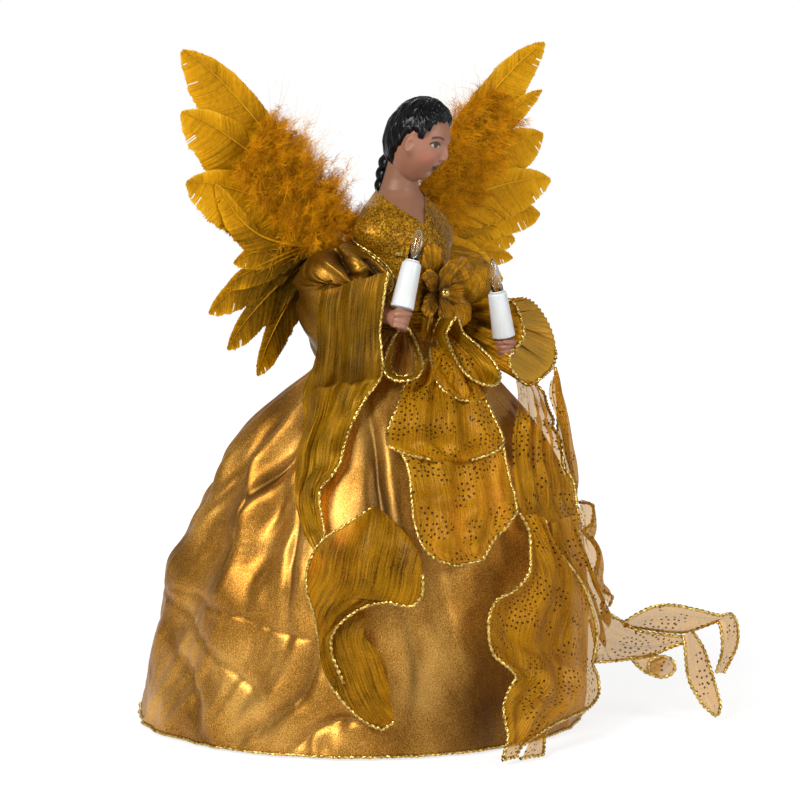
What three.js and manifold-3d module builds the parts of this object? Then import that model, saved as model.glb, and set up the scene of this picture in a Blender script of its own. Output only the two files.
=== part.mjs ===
// Angel tree topper: a doll on a satin-skirted cone that slips over the top of a tree, with
// feather wings and two candle lamps whose bulbs pull out of their sockets.
// Millimetres, +Z up. The figure faces -Y and its own left is +X. The origin lies on the
// resting plane, on the axis of the cone.
import * as THREE from "three";
import { mergeVertices } from "three/addons/utils/BufferGeometryUtils.js";
import Module from "manifold-3d";

const wasm = await Module();
wasm.setup();

// Fits and stuff
const SEAT_GAP = 0.3; // between pieces that rest on each other
const CLOTH = 0.8; // thickness of satin and organza
const CORD_RADIUS = 0.9; // gold braid

// Skirt, measured on the mean of its folds
const WAIST_HEIGHT = 204;
const WAIST_RADIUS = 16; // torso at the waist
const HEM_RADIUS = 116;
const HEM_LIFT = 1; // hem above the resting plane
const TRAIN = 32; // how far the hem's centre lies behind the axis
const FOLD_COUNT = 14;
const FOLD_DEPTH = 3.5;
const WAIST_FOLD_SHARE = 0.25; // depth of the folds at waist and hem against mid-height

// Cone inside the skirt, and the socket for the tree's leader
const CONE_CLEARANCE = 2; // cone foot to skirt
const CONE_WALL = 1.2;
const CONE_LIP = 7; // inward lip that the figure stands on
const CONE_LIP_THICKNESS = 1.5;
const CONE_TOP_DROP = 14; // cone top below the waist
const CONE_TOP_RADIUS = 15;
const LEADER_BORE = 9.6; // radius
const SOCKET_WALL = 1.4;
const SOCKET_LENGTH = 78;
const SOCKET_FLARE = 3; // bell mouth of the socket
const FLANGE_THICKNESS = 2.4;

// Doll
const TORSO_WALL = 2.2;
const ARM_RISE = 46; // shoulder wire above the waist
const SHOULDER_CAP = 5; // torso's top above the shoulder wire
const TORSO_TOP = ARM_RISE + SHOULDER_CAP;
const ARM_RADIUS = 6;
const ARM_BORE = 3.7;
const WIRE_RADIUS = 1;
const LEAD_RADIUS = 0.6;
const LEAD_OFFSET = 2.2; // lamp lead beside the arm wire
const HEAD_WIDTH = 30;
const HEAD_DEPTH = 36;
const HEAD_HEIGHT = 42;
const HEAD_CENTRE = [2, -10, 97.5]; // height above the waist
const HEAD_TURN = 20; // degrees to its own left
const HEAD_NOD = 24; // degrees
const HAIR_GAP = 0.9; // hair off the skull, clear of its facets
const HAIR_THICKNESS = 2;

// Candle lamps
const CANDLE_LENGTH = 24;
const CANDLE_FOOT_RADIUS = 5.9;
const CANDLE_TOP_RADIUS = 4.85;
const CANDLE_EDGE = 1.2; // rounding of the top edge
const STEM_RADIUS = 2.6; // spigot that the fist holds
const STEM_LENGTH = 7;
const LEAD_BORE = 1.7;
const LAMP_SOCKET_RADIUS = 3.6;
const LAMP_SOCKET_DEPTH = 11;
const BULB_RADIUS = 2.75;
const BULB_LENGTH = 16.5; // glass above its seat
const BULB_GLASS = 0.45;
const BULB_COLLAR_RADIUS = 4.1;
const BULB_COLLAR = 1.2;
const BULB_RECESS = 2;
const FIST_RADIUS = 6.4;
const FIST_RISE = 6.5; // candle foot above the middle of the fist

// Wings
const WING_PLANE = 24.5; // front layer of feathers behind the axis
const FEATHER_PITCH = 1.4; // one layer of feathers to the next
const QUILL_RADIUS = 0.5;
const VANE = 0.25; // half the thickness of a vane
const CARD_THICKNESS = 1.5;
const MARABOU_THICKNESS = 8;

const FINISH = {
  satin: ["#a8701f", 0.32, 0.35],
  organza: ["#c08a14", 0.55, 0.1],
  crinkle: ["#8d6206", 0.55, 0.1],
  glitter: ["#9a6c12", 0.5, 0.4],
  gold: ["#d8b84c", 0.3, 0.9],
  feather: ["#d89a0c", 0.75, 0],
  down: ["#c98f18", 0.9, 0],
  card: ["#8a6a2a", 0.85, 0],
  skin: ["#96684f", 0.6, 0],
  hair: ["#0f0f12", 0.2, 0],
  candle: ["#ededea", 0.45, 0],
  holder: ["#e0dfd8", 0.5, 0],
  glass: ["#f4efe2", 0.05, 0],
  filament: ["#8c8c8c", 0.4, 0.9],
  wire: ["#6f6f6c", 0.4, 0.9],
  lead: ["#f0efe9", 0.55, 0],
  board: ["#d9d4c6", 0.9, 0],
  plastic: ["#e8e6e0", 0.5, 0],
  foam: ["#efe8da", 0.9, 0],
};

const rad = THREE.MathUtils.degToRad;
const lerp = THREE.MathUtils.lerp;
const vec = (x, y, z) => new THREE.Vector3(x, y, z);
const model = new THREE.Group();

function piece(name, geometry, finish, parent = model) {
  const [color, roughness, metalness] = FINISH[finish];
  const material = new THREE.MeshStandardMaterial({ color, roughness, metalness });
  const mesh = new THREE.Mesh(geometry, material);
  mesh.name = name;
  parent.add(mesh);
  return mesh;
}

// A closed surface from points and triangles, turned so that its faces point out
function closedSurface(points, triangles) {
  const normal = vec(0, 0, 0);
  let volume = 0;
  for (const [a, b, c] of triangles) {
    volume += points[a].dot(normal.crossVectors(points[b], points[c]));
  }
  const facing = volume < 0 ? triangles.map(([a, b, c]) => [a, c, b]) : triangles;
  const geometry = new THREE.BufferGeometry().setFromPoints(points);
  return geometry.setIndex(facing.flat());
}

// Skin over rings of equal count: capped at both ends, or joined last to first
function loft(rings, joined = false) {
  const count = rings[0].length;
  const points = rings.flat();
  const triangles = [];
  const bands = joined ? rings.length : rings.length - 1;
  for (let i = 0; i < bands; i++) {
    const here = i * count;
    const next = ((i + 1) % rings.length) * count;
    for (let j = 0; j < count; j++) {
      const k = (j + 1) % count;
      triangles.push([here + j, here + k, next + k], [here + j, next + k, next + j]);
    }
  }
  if (!joined) {
    const caps = [
      [0, false],
      [(rings.length - 1) * count, true],
    ];
    for (const [start, last] of caps) {
      const middle = vec(0, 0, 0);
      for (let j = 0; j < count; j++) middle.addScaledVector(points[start + j], 1 / count);
      points.push(middle);
      for (let j = 0; j < count; j++) {
        const edge = [start + j, start + ((j + 1) % count)];
        triangles.push(last ? [...edge, points.length - 1] : [edge[1], edge[0], points.length - 1]);
      }
    }
  }
  return closedSurface(points, triangles);
}

// A thin solid on a grid of points: the cloth's inner face is the grid, its outer face lies
// one thickness further from the axis of the figure
function sheet(grid, thickness = CLOTH) {
  const rows = grid.length;
  const columns = grid[0].length;
  const normals = grid.map((row, i) =>
    row.map((_, j) => {
      const along = grid[Math.min(i + 1, rows - 1)][j].clone().sub(grid[Math.max(i - 1, 0)][j]);
      const across = row[Math.min(j + 1, columns - 1)].clone().sub(row[Math.max(j - 1, 0)]);
      return along.cross(across).normalize();
    }),
  );
  let outward = 0;
  grid.forEach((row, i) =>
    row.forEach((p, j) => {
      outward += normals[i][j].x * p.x + normals[i][j].y * p.y;
    }),
  );
  const step = outward < 0 ? -thickness : thickness;
  const inner = grid.flat();
  const outer = inner.map((p, k) =>
    p.clone().addScaledVector(normals[Math.floor(k / columns)][k % columns], step),
  );
  const points = [...inner, ...outer];
  const triangles = [];
  const quad = (a, b, c, d) => triangles.push([a, b, c], [a, c, d]);
  for (let i = 0; i < rows - 1; i++) {
    for (let j = 0; j < columns - 1; j++) {
      const corner = [0, 1, columns + 1, columns].map((step) => i * columns + j + step);
      quad(...corner);
      quad(...corner.map((k) => k + inner.length).reverse());
    }
  }
  const rim = [];
  for (let j = 0; j < columns - 1; j++) rim.push(j);
  for (let i = 0; i < rows - 1; i++) rim.push(i * columns + columns - 1);
  for (let j = columns - 1; j > 0; j--) rim.push((rows - 1) * columns + j);
  for (let i = rows - 1; i > 0; i--) rim.push(i * columns);
  rim.forEach((a, k) => {
    const b = rim[(k + 1) % rim.length];
    quad(b, a, a + inner.length, b + inner.length);
  });
  return closedSurface(points, triangles);
}

// A turned piece from its profile of [radius, height]
function turned(profile, segments = 32) {
  const lathe = new THREE.LatheGeometry(
    profile.map(([r, z]) => new THREE.Vector2(r, z)),
    segments,
  );
  const merged = bare(lathe.rotateX(Math.PI / 2));
  const place = merged.attributes.position;
  const points = Array.from({ length: place.count }, (_, i) => vec().fromBufferAttribute(place, i));
  const index = Array.from(merged.index.array);
  const triangles = [];
  for (let i = 0; i < index.length; i += 3) {
    const [a, b, c] = index.slice(i, i + 3);
    if (a !== b && b !== c && a !== c) triangles.push([a, b, c]);
  }
  return closedSurface(points, triangles);
}

// Positions only, with shared corners merged
function bare(geometry) {
  const plain = geometry.clone();
  for (const name of Object.keys(plain.attributes)) {
    if (name !== "position") plain.deleteAttribute(name);
  }
  return mergeVertices(plain, 1e-4);
}

function solidOf(geometry) {
  const merged = bare(geometry);
  return new wasm.Manifold(
    new wasm.Mesh({
      numProp: 3,
      vertProperties: merged.attributes.position.array,
      triVerts: new Uint32Array(merged.index.array),
    }),
  );
}

function geometryOf(solid) {
  const made = solid.getMesh();
  return new THREE.BufferGeometry()
    .setAttribute("position", new THREE.BufferAttribute(made.vertProperties, 3))
    .setIndex(new THREE.BufferAttribute(made.triVerts, 1));
}

const joinedSolids = (geometries) => geometries.map(solidOf).reduce((a, b) => a.add(b));

function circle(radius, sides) {
  const corner = (i) => (2 * Math.PI * i) / sides;
  return Array.from({ length: sides }, (_, i) =>
    new THREE.Vector2(radius * Math.cos(corner(i)), radius * Math.sin(corner(i))),
  );
}

// A round bar along a curve, or a pipe where it has a bore
function bar(path, radius, steps, sides = 8, bore = 0) {
  const section = new THREE.Shape(circle(radius, sides));
  if (bore) section.holes.push(new THREE.Path(circle(bore, sides)));
  return new THREE.ExtrudeGeometry(section, { extrudePath: path, steps, bevelEnabled: false });
}

const through = (points) => new THREE.CatmullRomCurve3(points, false, "centripetal");

// The row of a table of [key, value, ...] at a key, straight between its rows
function between(table, key) {
  const last = table.length - 1;
  const i = Math.max(0, Math.min(table.findIndex((row) => row[0] >= key) - 1, last - 1));
  const upper = key >= table[last][0] ? last - 1 : i;
  const share = (key - table[upper][0]) / (table[upper + 1][0] - table[upper][0]);
  const t = Math.max(0, Math.min(1, share));
  return table[upper].map((value, k) => lerp(value, table[upper + 1][k], t)).slice(1);
}

// Skirt surface

const skirtDrop = (z) => Math.max(0, Math.min(1, 1 - z / WAIST_HEIGHT));
const foldDepth = (z) =>
  FOLD_DEPTH * (WAIST_FOLD_SHARE + (1 - WAIST_FOLD_SHARE) * Math.sin(Math.PI * skirtDrop(z)));
const skirtTopRadius = WAIST_RADIUS + SEAT_GAP + CLOTH + FOLD_DEPTH * WAIST_FOLD_SHARE;

// Mean radius of the bell at an angle from the front: it swells at the hips, then hangs
function skirtMean(angle, z) {
  const drop = skirtDrop(z);
  const bell = 0.95 * (1 - (1 - drop) ** 3) + 0.05 * drop ** 4;
  const radius = lerp(skirtTopRadius, HEM_RADIUS, bell);
  const back = TRAIN * drop;
  return Math.sqrt(radius ** 2 - (back * Math.sin(angle)) ** 2) - back * Math.cos(angle);
}

const polar = (angle, radius, z) => vec(radius * Math.sin(angle), -radius * Math.cos(angle), z);
const skirtFold = (angle, z) => foldDepth(z) * Math.cos(FOLD_COUNT * angle);

// A point over the crests of the skirt's folds: degrees from the front, height, lift
function overSkirt([degrees, z, lift]) {
  const angle = rad(degrees);
  return polar(angle, skirtMean(angle, z) + foldDepth(z) + CLOTH + lift, z);
}

const SKIRT_POINTS = 4 * FOLD_COUNT;
const skirtAngles = Array.from({ length: SKIRT_POINTS }, (_, i) => (2 * Math.PI * i) / SKIRT_POINTS);

function skirt() {
  const heights = [0, 0.2, 0.37, 0.5, 0.61, 0.74, 0.87, 0.95, 1].map((share) =>
    lerp(HEM_LIFT, WAIST_HEIGHT, share),
  );
  const ring = (z, offset) =>
    skirtAngles.map((angle) => polar(angle, skirtMean(angle, z) + skirtFold(angle, z) + offset, z));
  const outer = heights.map((z) => ring(z, CLOTH));
  const inner = heights.map((z) => ring(z, 0)).reverse();
  return loft([...outer, ...inner], true);
}

// Gold braid sewn round the hem, a ring of three-sided section that follows the folds
function hemBraid() {
  const z = HEM_LIFT + CORD_RADIUS + SEAT_GAP;
  const corners = [0, 120, 240].map(rad);
  const rings = skirtAngles.map((angle) => {
    const radius = skirtMean(angle, z) + skirtFold(angle, z) + CLOTH + SEAT_GAP + CORD_RADIUS;
    return corners.map((turn) =>
      polar(angle, radius + CORD_RADIUS * Math.cos(turn), z + CORD_RADIUS * Math.sin(turn)),
    );
  });
  return loft(rings, true);
}

// Cone and leader socket

const coneFoot = HEM_RADIUS - TRAIN - FOLD_DEPTH * WAIST_FOLD_SHARE - CONE_CLEARANCE;
const coneTop = WAIST_HEIGHT - CONE_TOP_DROP;
const flangeTop = coneTop + SEAT_GAP + FLANGE_THICKNESS;
const leadHoleRadius = LEADER_BORE + SOCKET_WALL + LEAD_RADIUS + SEAT_GAP;
const LEAD_HOLE = LEAD_RADIUS + SEAT_GAP;
const LEAD_SPREAD = 3.5; // each lead to the middle of the back

function cone() {
  const foot = coneFoot - CONE_WALL;
  return turned(
    [
      [coneFoot, 0],
      [CONE_TOP_RADIUS, coneTop],
      [CONE_TOP_RADIUS - CONE_WALL, coneTop],
      [foot, CONE_LIP_THICKNESS],
      [foot - CONE_LIP, CONE_LIP_THICKNESS],
      [foot - CONE_LIP, 0],
      [coneFoot, 0],
    ],
    48,
  );
}

const leadHole = (side) =>
  vec(side * LEAD_SPREAD, Math.sqrt(leadHoleRadius ** 2 - LEAD_SPREAD ** 2), flangeTop);

function treeSocket() {
  const under = flangeTop - FLANGE_THICKNESS;
  const mouth = under - SOCKET_LENGTH;
  const wall = LEADER_BORE + SOCKET_WALL;
  const body = turned([
    [0, under],
    [LEADER_BORE, under],
    [LEADER_BORE, mouth + SOCKET_FLARE],
    [LEADER_BORE + SOCKET_FLARE, mouth],
    [wall + SOCKET_FLARE, mouth],
    [wall, mouth + SOCKET_FLARE],
    [wall, under],
    [CONE_TOP_RADIUS, under],
    [CONE_TOP_RADIUS, flangeTop],
    [0, flangeTop],
  ], 24);
  const drill = new THREE.CylinderGeometry(LEAD_HOLE, LEAD_HOLE, 4 * FLANGE_THICKNESS, 10);
  drill.rotateX(Math.PI / 2);
  let drilled = solidOf(body);
  for (const side of [-1, 1]) {
    const hole = leadHole(side);
    drilled = drilled.subtract(solidOf(drill.clone().translate(hole.x, hole.y, hole.z)));
  }
  return geometryOf(drilled);
}

// Torso, shoulders and neck: [height above the waist, half width, half depth, middle in Y]

const torsoFoot = flangeTop + SEAT_GAP - WAIST_HEIGHT;
const FIGURE = [
  [torsoFoot, WAIST_RADIUS, WAIST_RADIUS, 0],
  [10, WAIST_RADIUS, WAIST_RADIUS, 0],
  [22, 18, 16.5, -1],
  [36, 21, 18, -3],
  [46, 23, 16.5, -2],
  [TORSO_TOP, 23.4, 15.4, -1],
  [58, 22.4, 13.6, 0],
  [63, 18, 11.6, 1],
  [68, 11.5, 9.6, 0.5],
  [74, 8.4, 8.2, -2],
  [88, 7.6, 7.6, -6],
];

function onFigure(degrees, rise, lift) {
  const [width, depth, middle] = between(FIGURE, rise);
  const angle = rad(degrees);
  return vec(
    (width + lift) * Math.sin(angle),
    middle - (depth + lift) * Math.cos(angle),
    WAIST_HEIGHT + rise,
  );
}

const FIGURE_POINTS = 20;
const figureRing = (rise, lift) =>
  Array.from({ length: FIGURE_POINTS }, (_, i) => onFigure((360 * i) / FIGURE_POINTS, rise, lift));

// Hole for the arm wire and the lamp leads, straight through from side to side
const armHole = () => {
  const drill = new THREE.CylinderGeometry(ARM_BORE, ARM_BORE, 4 * HEAD_WIDTH, 12);
  return solidOf(drill.rotateZ(Math.PI / 2).translate(0, 0, WAIST_HEIGHT + ARM_RISE));
};

function torso() {
  const rises = FIGURE.map((row) => row[0]).filter((rise) => rise <= TORSO_TOP);
  const outer = rises.map((rise) => figureRing(rise, 0));
  const inner = rises.map((rise) => figureRing(rise, -TORSO_WALL)).reverse();
  return geometryOf(solidOf(loft([...outer, ...inner], true)).subtract(armHole()));
}

// Head: an egg with the features of a plain doll, in its own frame, facing -Y

const hump = (distance, spread) => Math.exp(-((distance / spread) ** 2));

// [height, reach forward, half width of the hump, spread up, spread down, distance off the middle]
const FACE = [
  [-3, 3.2, 2, 5, 1.7, 0], // nose
  [5.5, 0.8, 3.2, 1.8, 1.8, 4.5], // brows
  [2, -1.3, 2.4, 1.9, 1.9, 5], // eye sockets
  [-4, 0.7, 3, 3.5, 3.5, 7.5], // cheeks
  [-8.6, 1.4, 3.2, 1.5, 1.5, 0], // lips
  [-15.5, 2, 4, 3.5, 3.5, 0], // chin
];
const JAW_TAPER = 0.3;
const EAR_ANGLE = 95;
const EAR_REACH = 2;

function headPoint(angle, rise, lift) {
  const up = Math.sin(rise);
  const out = Math.cos(rise);
  const jaw = up < 0 ? 1 - JAW_TAPER * up ** 2 : 1;
  const point = vec(
    (HEAD_WIDTH / 2 + lift) * out * jaw * Math.sin(angle),
    -(HEAD_DEPTH / 2 + lift) * out * jaw * Math.cos(angle),
    (HEAD_HEIGHT / 2 + lift) * up,
  );
  if (lift === 0) {
    const front = Math.max(0, Math.cos(angle)) ** 0.5;
    for (const [z, reach, wide, above, below, off] of FACE) {
      const tall = hump(point.z - z, point.z > z ? above : below);
      point.y -= front * reach * tall * hump(Math.abs(point.x) - off, wide);
    }
    const turn = THREE.MathUtils.radToDeg(Math.abs(angle)) - EAR_ANGLE;
    point.x += Math.sign(angle) * EAR_REACH * hump(turn, 9) * hump(point.z + 3.5, 3.2);
  }
  return point;
}

const HEAD_POINTS = 24;
const HAIR_POINTS = 48;

function anglesRound(count) {
  return Array.from({ length: count }, (_, i) => -Math.PI + (2 * Math.PI * (i + 0.5)) / count);
}

const headGroup = new THREE.Group();
headGroup.position.set(HEAD_CENTRE[0], HEAD_CENTRE[1], WAIST_HEIGHT + HEAD_CENTRE[2]);
headGroup.rotation.set(rad(HEAD_NOD), 0, rad(HEAD_TURN), "ZYX");
headGroup.updateMatrix();
model.add(headGroup);

// Head, neck and shoulder plate are one moulding
function head() {
  const rises = [-78, -64, -52, -42, -33, -25, -17, -8, 2, 10, 18, 30, 45, 60, 78].map(rad);
  const angles = anglesRound(HEAD_POINTS);
  const skull = loft(rises.map((rise) => angles.map((angle) => headPoint(angle, rise, 0))));
  const plateFoot = TORSO_TOP + SEAT_GAP;
  const plateRises = [plateFoot, ...FIGURE.map((row) => row[0]).filter((rise) => rise > plateFoot)];
  const bust = loft(plateRises.map((rise) => figureRing(rise, 0)));
  const moulded = joinedSolids([skull.applyMatrix4(headGroup.matrix), bust]);
  return geometryOf(moulded).applyMatrix4(headGroup.matrix.clone().invert());
}

// Moulded hair: a cap over the skull whose edge drops from forehead to nape
function hair() {
  const hairline = (angle) => {
    const turn = THREE.MathUtils.radToDeg(Math.abs(angle));
    return rad(between(HAIRLINE, turn)[0]);
  };
  const shares = [0, 0.12, 0.28, 0.46, 0.64, 0.8, 0.93];
  const ring = (share, lift) =>
    anglesRound(HAIR_POINTS).map((angle) => {
      const rise = lerp(hairline(angle), Math.PI / 2, share);
      return headPoint(angle, rise, lift);
    });
  const under = shares.map((share) => ring(share, HAIR_GAP)).reverse();
  const over = shares.map((share) => ring(share, HAIR_GAP + HAIR_THICKNESS));
  return loft([...under, ...over]);
}

// [degrees from the face, degrees above the middle of the head]
const HAIRLINE = [
  [0, 46],
  [35, 42],
  [60, 28],
  [78, 8],
  [98, 10],
  [112, 2],
  [120, -24],
  [136, -42],
  [180, -48],
];

// Braid down the nape: three strands read as lobes along one tapering rope
const BRAID_LOBES = 6;
const BRAID_RADIUS = 3.6;
const NAPE_DROP = 38; // degrees below the middle of the head
// [across, back, up] from the hair at the nape
const BRAID_PATH = [
  [2.9, 3.9, -0.5],
  [1.9, 6.65, -8.5],
  [1.3, 6.85, -17.5],
  [0.9, 6.45, -24.5],
];
function braid() {
  const nape = headPoint(Math.PI, rad(-NAPE_DROP), HAIR_GAP + HAIR_THICKNESS);
  nape.applyMatrix4(headGroup.matrix);
  const path = through(BRAID_PATH.map((offset) => vec(...offset).add(nape)));
  const steps = 2 * BRAID_LOBES;
  const rings = [];
  for (let i = 0; i <= steps; i++) {
    const share = i / steps;
    const middle = path.getPoint(share);
    const lobe = 0.8 + 0.2 * Math.cos(2 * Math.PI * BRAID_LOBES * share);
    const radius = BRAID_RADIUS * lerp(1, 0.6, share) * lobe;
    rings.push(
      circle(radius, 8).map((p) => vec(middle.x + p.x, middle.y + p.y, middle.z)),
    );
  }
  return loft(rings);
}

// Arms: a wire through padded sleeves of cloth, from fist to fist

// side, fist, degrees that the candle leans inwards
const ARMS = [
  { name: "right", side: -1, fist: [-38, -34, 9.5], lean: 18 },
  { name: "left", side: 1, fist: [38, -35, -8.5], lean: 13 },
];
const BODICE_LAYER = CLOTH + SEAT_GAP;
const armRoot = FIGURE[5][1] + 2 * BODICE_LAYER + SEAT_GAP;
const WRIST = 10; // wrist to the middle of the fist
const ARM_STUB = 5; // straight out from the shoulder
const ARM_BULGE = [14, 1, -8]; // upper arm from the shoulder
const ELBOW = [47, 3];
const ELBOW_SHARE = 0.22; // elbow's height between fist and shoulder
const WRIST_WALL = 0.8;

for (const arm of ARMS) {
  const [x, y, rise] = arm.fist;
  arm.hand = vec(x, y, WAIST_HEIGHT + rise);
  arm.root = vec(arm.side * armRoot, 0, WAIST_HEIGHT + ARM_RISE);
  arm.elbow = vec(arm.side * ELBOW[0], ELBOW[1], lerp(arm.hand.z, arm.root.z, ELBOW_SHARE));
  arm.forward = arm.hand.clone().sub(arm.elbow).normalize();
  arm.wrist = arm.hand.clone().addScaledVector(arm.forward, -WRIST);
  const stub = arm.root.clone().add(vec(arm.side * ARM_STUB, 0, 0));
  const bulge = arm.root.clone().add(vec(arm.side * ARM_BULGE[0], ARM_BULGE[1], ARM_BULGE[2]));
  arm.path = through([arm.root, stub, bulge, arm.elbow, arm.wrist]);
  arm.group = new THREE.Group();
  arm.group.position.copy(arm.hand);
  arm.group.rotation.y = rad(-arm.side * arm.lean);
  arm.group.updateMatrix();
  model.add(arm.group);
}

// Stations along an arm that the wire and the lamp lead both follow
const ARM_SHARES = [0, 0.1, 0.2, 0.3, 0.4, 0.5, 0.6, 0.7, 0.8, 0.9, 1];

// Frame across an arm: the first vector also sets the lamp lead's place beside the wire
function armFrame(arm, share) {
  const tangent = arm.path.getTangentAt(share);
  const first = tangent.clone().cross(vec(0, 0, arm.side)).normalize();
  const second = tangent.clone().cross(first);
  return { middle: arm.path.getPointAt(share), first, second };
}

function armWire() {
  const reach = (arm) => arm.wrist.clone().addScaledVector(arm.forward, WRIST * 0.4);
  const points = (arm) => ARM_SHARES.map((share) => arm.path.getPointAt(share));
  const [right, left] = ARMS;
  const route = [
    reach(right),
    ...points(right).reverse(),
    vec(0, 0, WAIST_HEIGHT + ARM_RISE),
    ...points(left),
    reach(left),
  ];
  return bar(through(route), WIRE_RADIUS, 30, 5);
}

const SPLICE_RADIUS = 2.4;
const SPLICE_LENGTH = 14;
const spliceTop = coneTop - 34;
const splice = vec(0, leadHoleRadius + 5, spliceTop - SPLICE_LENGTH / 2);

// One lamp's lead: from the splice up past the socket, through the torso and along the arm
function lampLead(arm) {
  const hole = leadHole(arm.side);
  const alongArm = ARM_SHARES.map((share) => {
    const frame = armFrame(arm, share);
    return frame.middle.addScaledVector(frame.first, -LEAD_OFFSET);
  });
  const up = vec(0, 0, 1).applyQuaternion(arm.group.quaternion);
  const stemFoot = arm.hand.clone().addScaledVector(up, FIST_RISE - STEM_LENGTH);
  const inFist = stemFoot.clone().addScaledVector(up, -1.7).addScaledVector(arm.forward, -1.5);
  const route = [
    vec(arm.side, splice.y, spliceTop + SEAT_GAP),
    vec(arm.side * 1.6, splice.y - 1, spliceTop + 8),
    hole.clone().setZ(coneTop - 8),
    hole.clone().setZ(coneTop + 1),
    hole.clone().setZ(flangeTop + 5),
    vec(arm.side * 7, 8, WAIST_HEIGHT + 20),
    vec(arm.side * 12, 4, WAIST_HEIGHT + ARM_RISE - 10),
    vec(arm.side * 17, LEAD_OFFSET, WAIST_HEIGHT + ARM_RISE - 0.5),
    ...alongArm,
    inFist,
    stemFoot.clone().addScaledVector(up, 1.5),
    stemFoot.clone().addScaledVector(up, STEM_LENGTH + 10),
  ];
  return bar(through(route), LEAD_RADIUS, 46, 4);
}

const spliceBody = () => {
  const bevel = 0.8;
  const half = SPLICE_LENGTH / 2;
  return turned(
    [
      [0, -half],
      [SPLICE_RADIUS - bevel, -half],
      [SPLICE_RADIUS, bevel - half],
      [SPLICE_RADIUS, half - bevel],
      [SPLICE_RADIUS - bevel, half],
      [0, half],
    ],
    16,
  );
};

// Fist: four curled fingers ridge the front of the palm, with the wrist towards the arm
const FINGERS = 4;
const FINGER_RIDGE = 0.7;
const FIST_POINTS = 12;
function hand(arm) {
  const back = arm.forward.clone().negate();
  back.applyQuaternion(arm.group.quaternion.clone().invert());
  const facing = Math.atan2(-back.y, -back.x);
  const rows = 2 * FINGERS;
  const fist = loft(
    Array.from({ length: rows + 1 }, (_, i) => {
      const share = lerp(-0.97, 0.97, i / rows);
      const round = FIST_RADIUS * (1 - Math.abs(share) ** 3) ** 0.5;
      return Array.from({ length: FIST_POINTS }, (_, k) => {
        const turn = (2 * Math.PI * k) / FIST_POINTS;
        const ridge = Math.max(0, Math.cos(turn - facing)) * Math.cos(Math.PI * FINGERS * (share + 1));
        const radius = round - FINGER_RIDGE * Math.max(0, ridge);
        return vec(radius * Math.cos(turn), radius * Math.sin(turn), share * (FIST_RISE - SEAT_GAP));
      });
    }),
  );
  const wristEnd = back.clone().multiplyScalar(WRIST - SEAT_GAP);
  const wrist = bar(new THREE.LineCurve3(back, wristEnd), ARM_BORE + WRIST_WALL, 1, 10);
  const hole = STEM_RADIUS + SEAT_GAP;
  const stemFoot = FIST_RISE - STEM_LENGTH - SEAT_GAP;
  const stemHole = new THREE.CylinderGeometry(hole, hole, 2 * FIST_RISE, 10);
  stemHole.rotateX(Math.PI / 2).translate(0, 0, stemFoot + FIST_RISE);
  const boreEnd = vec(0, 0, stemFoot - 1).addScaledVector(back, -1.5);
  const bore = bar(new THREE.LineCurve3(boreEnd, wristEnd.clone().multiplyScalar(1.2)), ARM_BORE, 1, 10);
  const solid = joinedSolids([fist, wrist]).subtract(solidOf(stemHole)).subtract(solidOf(bore));
  return geometryOf(solid);
}

// Candle sleeve with its spigot, wire way and lamp socket
const candleFoot = FIST_RISE;
const candleTop = candleFoot + CANDLE_LENGTH;
const socketFloor = candleTop - LAMP_SOCKET_DEPTH;
function candle() {
  const shoulder = [30, 65].map(rad).map((turn) => [
    CANDLE_TOP_RADIUS - CANDLE_EDGE * (1 - Math.cos(turn)),
    candleTop - CANDLE_EDGE * (1 - Math.sin(turn)),
  ]);
  return turned(
    [
      [LEAD_BORE, candleFoot - STEM_LENGTH],
      [STEM_RADIUS, candleFoot - STEM_LENGTH],
      [STEM_RADIUS, candleFoot],
      [CANDLE_FOOT_RADIUS, candleFoot],
      [CANDLE_TOP_RADIUS, candleTop - CANDLE_EDGE],
      ...shoulder,
      [LAMP_SOCKET_RADIUS, candleTop],
      [LAMP_SOCKET_RADIUS, socketFloor],
      [LEAD_BORE, socketFloor],
      [LEAD_BORE, candleFoot - STEM_LENGTH],
    ],
    16,
  );
}

const collarFoot = candleTop + SEAT_GAP;
const collarTop = collarFoot + BULB_COLLAR;
const glassSeat = collarTop - BULB_RECESS + SEAT_GAP;
function bulbBase() {
  const plug = LAMP_SOCKET_RADIUS - SEAT_GAP;
  const recess = BULB_RADIUS + SEAT_GAP;
  return turned(
    [
      [0, socketFloor + 2],
      [plug - 0.8, socketFloor + 2],
      [plug, socketFloor + 4],
      [plug, collarFoot],
      [BULB_COLLAR_RADIUS, collarFoot],
      [BULB_COLLAR_RADIUS, collarTop],
      [recess, collarTop],
      [recess, collarTop - BULB_RECESS],
      [0, collarTop - BULB_RECESS],
    ],
    16,
  );
}

// Glass envelope, open below: straight wall, then a drawn tip
function bulbGlass() {
  const tip = glassSeat + BULB_LENGTH;
  const straight = glassSeat + BULB_LENGTH * 0.5;
  const drawn = [0.35, 0.65, 0.88];
  const outer = drawn.map((share) => [
    BULB_RADIUS * (1 - share ** 2.2) + 0.25 * share,
    lerp(straight, tip, share),
  ]);
  const inner = outer.map(([r, z]) => [Math.max(0.2, r - BULB_GLASS), z - BULB_GLASS]).reverse();
  return turned(
    [
      [0, tip],
      ...outer.slice().reverse(),
      [BULB_RADIUS, straight],
      [BULB_RADIUS, glassSeat],
      [BULB_RADIUS - BULB_GLASS, glassSeat],
      [BULB_RADIUS - BULB_GLASS, straight],
      ...inner.slice().reverse(),
      [0, tip - 3 * BULB_GLASS],
    ],
    12,
  );
}

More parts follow.
